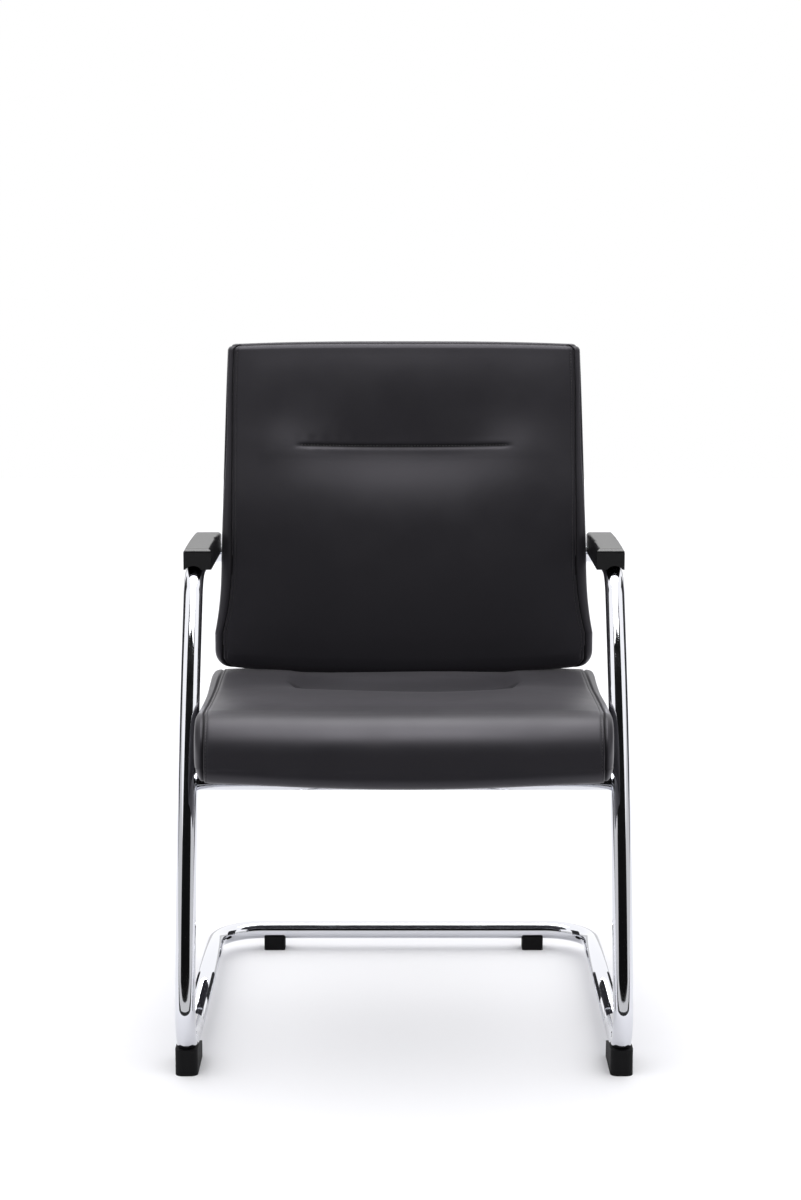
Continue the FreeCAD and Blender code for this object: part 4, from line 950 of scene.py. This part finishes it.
@dataclass
class BackCushion(Cushion):
    """Backrest with a crowned front panel, one straight tuck, flared lower sides and two side cheeks."""

    name: str = "back"
    fill: float = 6 * MM
    detail: int = 4

    bottom: float = 99.5 * MM
    top: float = 547 * MM
    front: float = 245 * MM
    rear: float = 306.6 * MM
    bend_start: float = 270 * MM
    bend_radius: float = 900 * MM
    lumbar_height: float = 180 * MM
    lumbar_radius: float = 1200 * MM
    ease_start: float = 360 * MM
    ease: float = 0.8
    crown: float = 8 * MM
    top_half_width: float = 237 * MM
    arm_half_width: float = 245 * MM
    low_half_width: float = 254 * MM
    flare_start: float = 255 * MM
    flare_end: float = 150 * MM
    bottom_rise: float = 24 * MM
    bottom_roll: float = 18 * MM
    top_drop: float = 9 * MM
    top_roll: float = 7 * MM
    rear_roll: float = 4 * MM
    low_corner: float = 18 * MM
    top_corner: float = 12 * MM
    front_corner: float = 14 * MM
    corner_share: float = 0.95
    rear_corner: float = 22 * MM
    bottom_arch: float = 11 * MM
    bottom_zone: float = 120 * MM
    top_arch: float = 5 * MM
    top_zone: float = 60 * MM
    seam: float = 230 * MM
    seam_low: float = 243 * MM
    seam_margin: float = 9 * MM
    off_panel: float = 40 * MM
    stitch_offset: float = 4.5 * MM
    tuck_height: float = 408 * MM
    tuck_half_span: float = 141 * MM
    tuck_fade: Span = (12 * MM, 8 * MM)

    # Each dip's painted shade darkens the leather's colour along its groove.
    seam_dip: Dip = Dip(1.6 * MM, 1.6 * MM, shade=1.0)
    stitch_dip: Dip = Dip(0.5 * MM, 1.2 * MM, shade=0.3)
    # The seam along the top edge has its place and width in shares of the top's roll.
    edge_dip: Dip = Dip(0.9 * MM, 0.12, shade=0.8)
    edge_place: float = 0.35
    tuck_dip: Dip = Dip(1.2 * MM, 2.6 * MM, shade=1.0)
    valley: Dip = Dip(9.0 * MM, 60 * MM, 90 * MM)
    pull_span: float = 230 * MM
    lobe: Dip = Dip(-8.5 * MM, 200 * MM, 44 * MM)
    lobe_drop: float = 14 * MM
    lobe_width: float = 58 * MM
    pucker: Dip = Dip(0.9 * MM, 7 * MM)
    pucker_pitch: float = 19 * MM
    pucker_lift: float = 5 * MM
    pucker_power: int = 8

    grip: float = 6 * MM
    end_grip: float = 0.02

    crowding: float = 0.72
    panel_steps: int = 44
    cheek_steps: int = 3
    corner_steps: int = 3
    side_steps: int = 5
    rear_steps: int = 12
    roll_steps: int = 8
    body_steps: int = 56

    @cached_property
    def heights(self) -> tuple[Array, Array, Array]:
        """Heights of the rings, with the shares by which the bottom and the top have rolled in.

        Both ends are quarter ellipses: the height follows a sine and the inset one minus a cosine.
        """
        angle = np.linspace(np.pi / 2, 0, self.roll_steps * self.detail, endpoint=False)
        body_low, body_high = self.bottom + self.bottom_rise, self.top - self.top_drop
        low = self.bottom + self.bottom_rise * (1 - np.sin(angle))
        high = self.top - self.top_drop * (1 - np.sin(angle[::-1]))
        body = np.linspace(body_low, body_high, self.body_steps * self.detail + 1)
        rolled = 1 - np.cos(angle)
        below = np.concatenate([rolled, np.zeros(len(body) + len(rolled))])
        return np.concatenate([low, body, high]), below, below[::-1]

    @cached_property
    def outline(self) -> tuple[Array, Array]:
        """Half widths of the backrest and of its front panel: a straight line upwards, a square downwards."""
        height, below, above = self.heights
        rise = np.clip((height - self.flare_start) / (self.top - self.flare_start), 0, 1)
        drop = np.clip((self.flare_start - height) / (self.flare_start - self.flare_end), 0, 1)
        half = self.arm_half_width + (self.top_half_width - self.arm_half_width) * rise
        half = half + (self.low_half_width - self.arm_half_width) * drop**2
        half = half - self.low_corner * below - self.top_corner * above
        panel = self.seam + (self.seam_low - self.seam) * drop**2
        return half, np.minimum(panel, half - self.seam_margin)

    @cached_property
    def front_middle(self) -> Array:
        """Depth of the front's middle: a lumbar arc that eases off near the tuck, both ends rolled in."""
        height, below, above = self.heights
        rise = np.maximum(height - self.ease_start, 0)
        arc = ((height - self.lumbar_height) ** 2 - self.ease * rise**2) / (2 * self.lumbar_radius)
        return self.front + arc + self.bottom_roll * below + self.top_roll * above

    @property
    def rear_middle(self) -> Array:
        """Depth of the rear: flat below, then bent back on an arc."""
        height, below, above = self.heights
        rise = np.maximum(height - self.bend_start, 0)
        bent = self.rear + self.bend_radius - np.sqrt(self.bend_radius**2 - rise**2)
        return bent - self.rear_roll * (below + above)

    def bulge(self, across: Array) -> Array:
        """Depth of the crowned front: the middle's depth plus the square of the distance across."""
        return self.front_middle[:, None] + self.crown * (across / self.low_half_width) ** 2

    def front_run(self, start: Array, finish: Array, share: Array) -> Array:
        """Stretches of the crowned front between two distances across, at shares of the way."""
        across = start[:, None] * (1 - share) + finish[:, None] * share
        return np.stack([across, self.bulge(across)], axis=-1)

    @property
    def panel_shares(self) -> Array:
        """Shares of the way over the front panel: even steps less a sine, which crowds them at the seams."""
        even = np.linspace(0, 1, self.panel_steps * self.detail + 1)
        return even - self.crowding * np.sin(2 * np.pi * even) / (2 * np.pi)

    @cached_property
    def rings(self) -> Array:
        """Plan sections at every height, in distances across, along and up.

        A section is a shallow arc in front, rounded front corners, straight sides, rounded rear corners and a
        straight rear. The bottom edge and the top edge arch a little over the width.
        """
        height, _, _ = self.heights
        half, panel = self.outline
        near = np.minimum(self.front_corner, (half - panel) * self.corner_share)
        front = self.bulge((half - near)[:, None])[:, 0]
        right = Corner.inside(half, front, near, (-1, 1))
        right_rear = Corner.inside(half, self.rear_middle, np.full_like(half, self.rear_corner), (-1, -1))
        left, left_rear = right.mirrored(), right_rear.mirrored()
        corner, side = self.corner_steps * self.detail, self.side_steps * self.detail
        cheek = np.linspace(0, 1, self.cheek_steps * self.detail, endpoint=False)
        stretches = [
            self.front_run(-panel, panel, self.panel_shares[:-1]),
            self.front_run(panel, half - near, cheek),
            right.turn(-90, 0, corner),
            run(right.rim((1, 0)), right_rear.rim((1, 0)), side),
            right_rear.turn(0, 90, corner),
            run(right_rear.rim((0, 1)), left_rear.rim((0, 1)), self.rear_steps * self.detail),
            left_rear.turn(90, 180, corner),
            run(left_rear.rim((-1, 0)), left.rim((-1, 0)), side),
            left.turn(180, 270, corner),
            self.front_run(near - half, -panel, cheek),
        ]
        ring = np.concatenate(stretches, axis=1)
        spread = np.clip(np.abs(ring[..., 0]) / self.low_half_width, 0, 1)
        low = 1 - smooth_step(height, self.bottom, self.bottom + self.bottom_zone)[:, None]
        high = smooth_step(height, self.top - self.top_zone, self.top)[:, None]
        up = height[:, None] + self.bottom_arch * spread**2 * low - self.top_arch * spread**3 * high
        return np.concatenate([ring, up[..., None]], axis=-1)

    @property
    def front_mask(self) -> Array:
        """One row, true at the points of the front panel, the cheeks' fronts and the front corners."""
        count = self.rings.shape[1]
        flank = (self.cheek_steps + self.corner_steps) * self.detail
        numbers = np.arange(count)[None]
        return (numbers <= self.panel_steps * self.detail + flank) | (numbers >= count - flank)

    @property
    def seam_distance(self) -> Array:
        """Distance in front view from the side seam, below zero on the front panel."""
        distance = np.abs(self.rings[..., 0]) - self.outline[1][:, None]
        return np.where(self.front_mask, distance, self.off_panel)

    @property
    def tuck(self) -> tuple[Array, Array]:
        """Heights above the tuck, and how far the sewing reaches there."""
        across, _, up = np.moveaxis(self.rings, -1, 0)
        inner, outer = self.tuck_half_span - self.tuck_fade[0], self.tuck_half_span + self.tuck_fade[1]
        return up - self.tuck_height, (1 - smooth_step(np.abs(across), inner, outer)) * self.front_mask

    @property
    def sewn(self) -> Array:
        """True at points held by the seams, both ends, the sides, the rear and the tuck."""
        lift, reach = self.tuck
        _, below, above = self.heights
        ends = (below + above > self.end_grip)[:, None]
        tucked = (np.abs(lift) < self.grip) & (reach > SEWN_SHARE)
        return (np.abs(self.seam_distance) < self.grip) | ends | ~self.front_mask | tucked

    @property
    def sewing(self) -> Array:
        """Depths and painted shades of seams, topstitch, top edge and tuck, with the soft forms round the
        tuck.

        The tuck pulls a valley into the middle and leaves fuller lobes at its ends. Puckers along it are a
        high power of a sine across, and fade from the left end to the right.
        """
        across = self.rings[..., 0]
        seam = self.seam_distance
        lift, reach = self.tuck
        edge = (self.heights[2] - self.edge_place)[:, None]
        ends = bell(np.abs(across) - self.tuck_half_span, self.lobe_width)
        fading = np.clip(0.5 - across / (2 * self.tuck_half_span), 0, 1)
        puckers = np.sin(np.pi * across / self.pucker_pitch) ** self.pucker_power * fading
        drawn = self.seam_dip.cut(seam) + self.stitch_dip.cut(seam + self.stitch_offset)
        drawn = drawn + self.edge_dip.cut(edge) + self.tuck_dip.cut(lift, reach)
        drawn = drawn + self.valley.cut(lift, bell(across, self.pull_span) * self.front_mask)
        drawn = drawn + self.lobe.cut(lift + self.lobe_drop, ends * self.front_mask)
        return drawn + self.pucker.cut(lift - self.pucker_lift, puckers * reach)

    def stitch_lines(self, points: Array, normals: Array) -> list[tuple[Array, Array]]:
        """The tuck's line, and the topstitch beside both seams.

        Args:
            points: finished rings of the cushion.
            normals: their normals.

        Returns:
            Points of each line and the normals there.
        """
        lift, _ = self.tuck
        level = np.argmin(np.abs(lift[:, 0]))
        panel = self.rings[level, :self.panel_steps * self.detail, 0]
        span = np.flatnonzero(np.abs(panel) < self.tuck_half_span)
        body = slice(self.roll_steps * self.detail, (self.roll_steps + self.body_steps) * self.detail)
        sides = [(self.topstitch(points, side)[body], self.topstitch(normals, side)[body]) for side in Side]
        return [(points[level, span], normals[level, span]), *sides]

    def topstitch(self, grid: Array, side: Side) -> Array:
        """Values of a grid along one side's topstitch, in straight lines between the panel's points.

        Args:
            grid: points or normals of the finished rings.
            side: which side of the panel.

        Returns:
            One value for each ring.
        """
        _, panel = self.outline
        target = (panel + side.value * (panel - self.stitch_offset)) / (2 * panel)
        shares = self.panel_shares
        place = np.interp(target, shares, np.arange(len(shares)))
        low = place.astype(int)
        part = (place - low)[:, None]
        rings = np.arange(len(grid))
        return grid[rings, low] * (1 - part) + grid[rings, low + 1] * part


@dataclass
class TubeFrame:
    """Bent chromed tubes: two side bows with arm rails, the rear floor bow and the seat's cross tube."""

    radius: float = 12.5 * MM
    track: float = 269 * MM
    toe: float = -246 * MM
    runner: float = 27 * MM
    toe_bend: float = 50 * MM
    lean_low: float = 11.0
    lean_high: float = 29.0
    bow: float = 1500 * MM
    arm: float = 597 * MM
    arm_bend: float = 50 * MM
    rail_bend: float = 50 * MM
    rail_end: float = 140 * MM
    base_depth: float = 545 * MM
    floor_bend: float = 66 * MM
    joint: float = 127 * MM
    joint_gap: float = 0.4 * MM
    cross_radius: float = 11 * MM
    cross_inset: float = 6 * MM
    around: int = 48
    toe_points: int = 26
    bow_points: int = 40
    arm_points: int = 20
    rail_points: int = 26
    floor_points: int = 28

    @staticmethod
    def polar(centre: Array, radius: float, degrees: Array | float) -> Array:
        """Points of the side plane at angles from the forward direction, turning upwards."""
        angle = np.radians(np.atleast_1d(degrees))
        return centre + np.stack([-radius * np.cos(angle), radius * np.sin(angle)], axis=-1)

    @property
    def side_path(self) -> tuple[Array, int]:
        """Route of the right side bow, and the number of its first point on the rail's level bend."""
        rail_y = float(sum(corner.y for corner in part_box("rail_plug_left"))) / 2
        toe_centre = np.array([self.toe + self.toe_bend, self.runner + self.toe_bend])
        foot = self.polar(toe_centre, self.toe_bend, self.lean_low)[0]
        bow_centre = 2 * foot - self.polar(foot, self.bow, self.lean_low)[0]
        head = self.polar(bow_centre, self.bow, self.lean_high)[0]
        lean = math.radians(self.lean_high)
        bend_foot_z = self.arm - self.arm_bend * (1 - math.sin(lean))
        bend_foot = head + np.array([math.tan(lean), 1.0]) * (bend_foot_z - head[1])
        arm_centre = 2 * bend_foot - self.polar(bend_foot, self.arm_bend, self.lean_high)[0]
        bow_angles = np.linspace(self.lean_low, self.lean_high, self.bow_points)[1:]
        plane = np.concatenate([
            np.array([[self.toe + self.joint - self.joint_gap / 2, self.runner]]),
            self.polar(toe_centre, self.toe_bend, np.linspace(-90, self.lean_low, self.toe_points)),
            self.polar(bow_centre, self.bow, bow_angles),
            self.polar(arm_centre, self.arm_bend, np.linspace(self.lean_high, 90, self.arm_points)),
        ])
        side = np.column_stack([np.full(len(plane), self.track), plane])
        angle = np.linspace(0, np.pi / 2, self.rail_points)
        level = np.column_stack([
            self.track - self.rail_bend * (1 - np.cos(angle)),
            rail_y - self.rail_bend * (1 - np.sin(angle)),
            np.full_like(angle, self.arm),
        ])
        end = np.array([[self.rail_end, rail_y, self.arm]])
        return np.concatenate([side, level, end]), len(side)

    @property
    def floor_path(self) -> Array:
        """Route of the rear floor bow: along one runner, round the rear bar and back along the other."""
        start = self.toe + self.joint + self.joint_gap / 2
        rear = self.toe + self.base_depth
        angle = np.linspace(0, np.pi / 2, self.floor_points)
        across = np.concatenate([[self.track], self.track - self.floor_bend * (1 - np.cos(angle))])
        along = np.concatenate([[start], rear - self.floor_bend * (1 - np.sin(angle))])
        half = np.column_stack([across, along, np.full_like(across, self.runner)])
        return np.concatenate([half, (half * np.array([-1, 1, 1]))[::-1]])

    def sweep(self, path: Array, radius: float, level_from: int = 0) -> Array:
        """Rings of a round tube carried along a route.

        In the side plane a ring stands on X and on the tangent crossed with X; on a level stretch it stands
        on Z. Both give the same ring where they meet.

        Args:
            path: points of the route.
            radius: radius of the tube.
            level_from: number of the first point whose stretch is level.

        Returns:
            Array of rings, points in a ring, and X, Y, Z.
        """
        steps = unit(np.diff(path, axis=0))
        ahead = unit(np.concatenate([steps[:1], steps[:-1] + steps[1:], steps[-1:]]))
        level = (np.arange(len(path)) >= level_from)[:, None]
        sideways = np.array([[1.0, 0.0, 0.0]])
        down = np.array([[0.0, 0.0, -1.0]])
        first = np.where(level, unit(np.cross(down, ahead)), sideways)
        second = np.where(level, down, np.cross(ahead, sideways))
        angle = np.linspace(0, 2 * np.pi, self.around, endpoint=False)[None, :, None]
        return path[:, None] + radius * (first[:, None] * np.cos(angle) + second[:, None] * np.sin(angle))

    def build(self) -> dict[str, Piece]:
        """Make the tubes.

        Returns:
            Each tube by the name of the CAD node that it stands for.
        """
        path, level_from = self.side_path
        rings = self.sweep(path, self.radius, level_from)
        tubes = {}
        for side in Side:
            mirrored = rings * np.array([side.value, 1, 1])
            tubes[f"side_bow_{side.word}"] = grid_object(f"side_bow_tube_{side.word}", mirrored)
        tubes["rear_floor_bow"] = grid_object("floor_bow_tube", self.sweep(self.floor_path, self.radius))
        low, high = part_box("seat_cross_tube")
        ends = np.tile(np.array((low + high) / 2), (2, 1))
        ends[:, 0] = low.x + self.cross_inset, high.x - self.cross_inset
        tubes["seat_cross_tube"] = grid_object("cross_tube", self.sweep(ends, self.cross_radius))
        return tubes


@dataclass(frozen=True)
class Card:
    """Flat matt card of the studio, from a corner along two edges.

    A card for mirrors only shapes reflections and takes no light away.
    """

    name: str
    corner: Place
    edges: tuple[Place, Place]
    colour: str
    mirrors_only: bool = True
    roughness: float = 0.9
    specular: float = 0.2

    def build(self) -> None:
        """Set up the card."""
        mesh = bpy.data.meshes.new(self.name)
        start, first, second = (Vector(part) for part in (self.corner, *self.edges))
        mesh.from_pydata([start, start + first, start + first + second, start + second], [], [(0, 1, 2, 3)])
        piece = place_object(self.name, mesh)
        material, _, shader = start_material(f"{self.name}_paint")
        values = {"Roughness": self.roughness, "Specular IOR Level": self.specular}
        wire(shader, {"Base Color": linear(self.colour), **values})
        mesh.materials.append(material)
        if self.mirrors_only:
            piece.visible_camera = False
            piece.visible_diffuse = False
            piece.visible_shadow = False
            piece.visible_transmission = False


@dataclass(frozen=True)
class Softbox:
    """Soft rectangular lamp, seen in highlights alone, so that it leaves the floor evenly lit."""

    name: str
    place: Place
    target: Place
    size: Span
    power: float

    def build(self) -> None:
        """Hang the lamp and aim it at its target."""
        light = bpy.data.lights.new(self.name, "AREA")
        light.shape = "RECTANGLE"
        light.size, light.size_y = self.size
        light.energy = self.power
        lamp = place_object(self.name, light)
        lamp.visible_diffuse = False
        lamp.location = self.place
        way = Vector(self.target) - Vector(self.place)
        lamp.rotation_euler = way.to_track_quat("-Z", "Y").to_euler()


@dataclass(frozen=True)
class CeilingGlow:
    """Even light from a wide ceiling; angles in degrees, the lean below zero towards the rear."""

    name: str = "ceiling_glow"
    strength: float = 1.75
    angle: float = 150.0
    lean: float = -3.0

    def build(self) -> None:
        """Set up the light."""
        light = bpy.data.lights.new(self.name, "SUN")
        light.energy = self.strength
        light.angle = math.radians(self.angle)
        place_object(self.name, light).rotation_euler = (math.radians(self.lean), 0.0, 0.0)


@dataclass(frozen=True)
class Surroundings:
    """White surroundings for the camera, softer light for the rest, so that chrome stands out from white."""

    name: str = "white_studio"
    ambient: float = 0.78

    def build(self) -> None:
        """Set up the world."""
        world = bpy.data.worlds.new(self.name)
        bpy.context.scene.world = world
        world.use_nodes = True
        tree = world.node_tree
        path = add(tree, "ShaderNodeLightPath")
        links = {0: path.outputs["Is Camera Ray"], 1: path.outputs["Is Transmission Ray"]}
        seen = add(tree, "ShaderNodeMath", {"operation": "MAXIMUM"}, links).outputs[0]
        strength = remap(tree, seen, WHOLE, (self.ambient, 1.0))
        wire(tree.nodes["Background"], {"Color": (1.0, 1.0, 1.0, 1.0)}, {"Strength": strength})


@dataclass(frozen=True)
class PhotoCamera:
    """Camera at the place of the photograph; the pitch is in degrees."""

    name: str = "photo_camera"
    focal_mm: float = 72.6
    sensor_mm: float = 36.0
    place: Place = (-0.0045, -3.109, 1.033)
    pitch: float = 8.69

    def build(self) -> None:
        """Set up the camera and look through it."""
        data = bpy.data.cameras.new(self.name)
        data.sensor_fit = "VERTICAL"
        data.sensor_height = self.sensor_mm
        data.lens = self.focal_mm
        data.dof.use_dof = False
        camera = place_object(self.name, data)
        camera.location = self.place
        camera.rotation_euler = (math.radians(90 - self.pitch), 0.0, 0.0)
        bpy.context.scene.camera = camera


# White studio: a pale floor, dark cards in front for the chrome's dark streaks, grey ones beside, and lamps.
STUDIO: tuple[Card | Surroundings | Softbox | CeilingGlow | PhotoCamera, ...] = (
    Card("floor", (-7.0, -7.0, 0.0), ((14.0, 0.0, 0.0), (0.0, 14.0, 0.0)), "#f6f6f9", mirrors_only=False),
    Card("dark_front", (-5.5, -4.6, 0.42), ((11.0, 0.0, 0.0), (0.0, 0.0, 6.18)), "#000000"),
    Card("dark_floor", (-5.5, -4.6, 0.004), ((11.0, 0.0, 0.0), (0.0, 3.85, 0.0)), "#000000"),
    *(
        Card(f"grey_{side.word}", (3.0 * side.value, 0.3, 0.2), ((0.0, 2.2, 0.0), (0.0, 0.0, 2.2)), "#2a2a2c")
        for side in Side
    ),
    Surroundings(),
    Softbox("rear_softbox", (0.0, 0.35, 3.0), (0.0, -0.1, 0.5), (3.0, 1.6), 105.0),
    Softbox("front_softbox", (0.0, -1.4, 3.2), (0.0, 0.0, 0.6), (2.6, 1.6), 105.0),
    CeilingGlow(),
    PhotoCamera(),
)


def dress_nodes(nodes: dict[str, Piece]) -> None:
    """Give every CAD node that stays in view its own finish.

    Args:
        nodes: the CAD nodes by name.
    """
    for finish, names in NODE_FINISHES.items():
        material = finish.material()
        for name in names:
            mesh = nodes[name].data
            mesh.materials.clear()
            mesh.materials.append(material)


def mount_piece(piece: Piece, slot: str, *nodes: str) -> None:
    """Ride a piece on the chair.

    Args:
        piece: piece to mount.
        slot: name of its material slot; not used.
        nodes: CAD nodes that it stands for.
    """
    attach(piece, ROOT)
    if nodes:
        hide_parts(*nodes)
    LOG.info("%s: %d faces", piece.name, len(piece.data.polygons))


def main() -> None:
    """Build the chair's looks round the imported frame."""
    logging.basicConfig(level=logging.INFO, format="%(name)s: %(message)s")
    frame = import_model()
    tilted = Tilted()
    leather = SatinLeather().material()
    chrome = ChromePlate().material()

    for node, tube in TubeFrame().build().items():
        tube.data.materials.append(chrome)
        mount_piece(tube, "chrome_tube", node)

    cushions: list[tuple[Cushion, tuple[str, ...]]] = [
        (SeatCushion(tilted), ("seat_cover_top", "seat_cover_left", "seat_cover_right", "seat_foam")),
        (BackCushion(tilted), ("back_cover_front", "back_cover_left", "back_cover_right", "back_foam")),
    ]
    for maker, nodes in cushions:
        cushion, thread = maker.build()
        cushion.data.materials.append(leather)
        mount_piece(cushion, "black_leather", *nodes)
        mount_piece(thread, "black_leather")

    dress_nodes(frame["nodes"])
    for item in STUDIO:
        item.build()
    bpy.context.scene.view_settings.view_transform = "Standard"


if __name__ == "__main__":
    main()
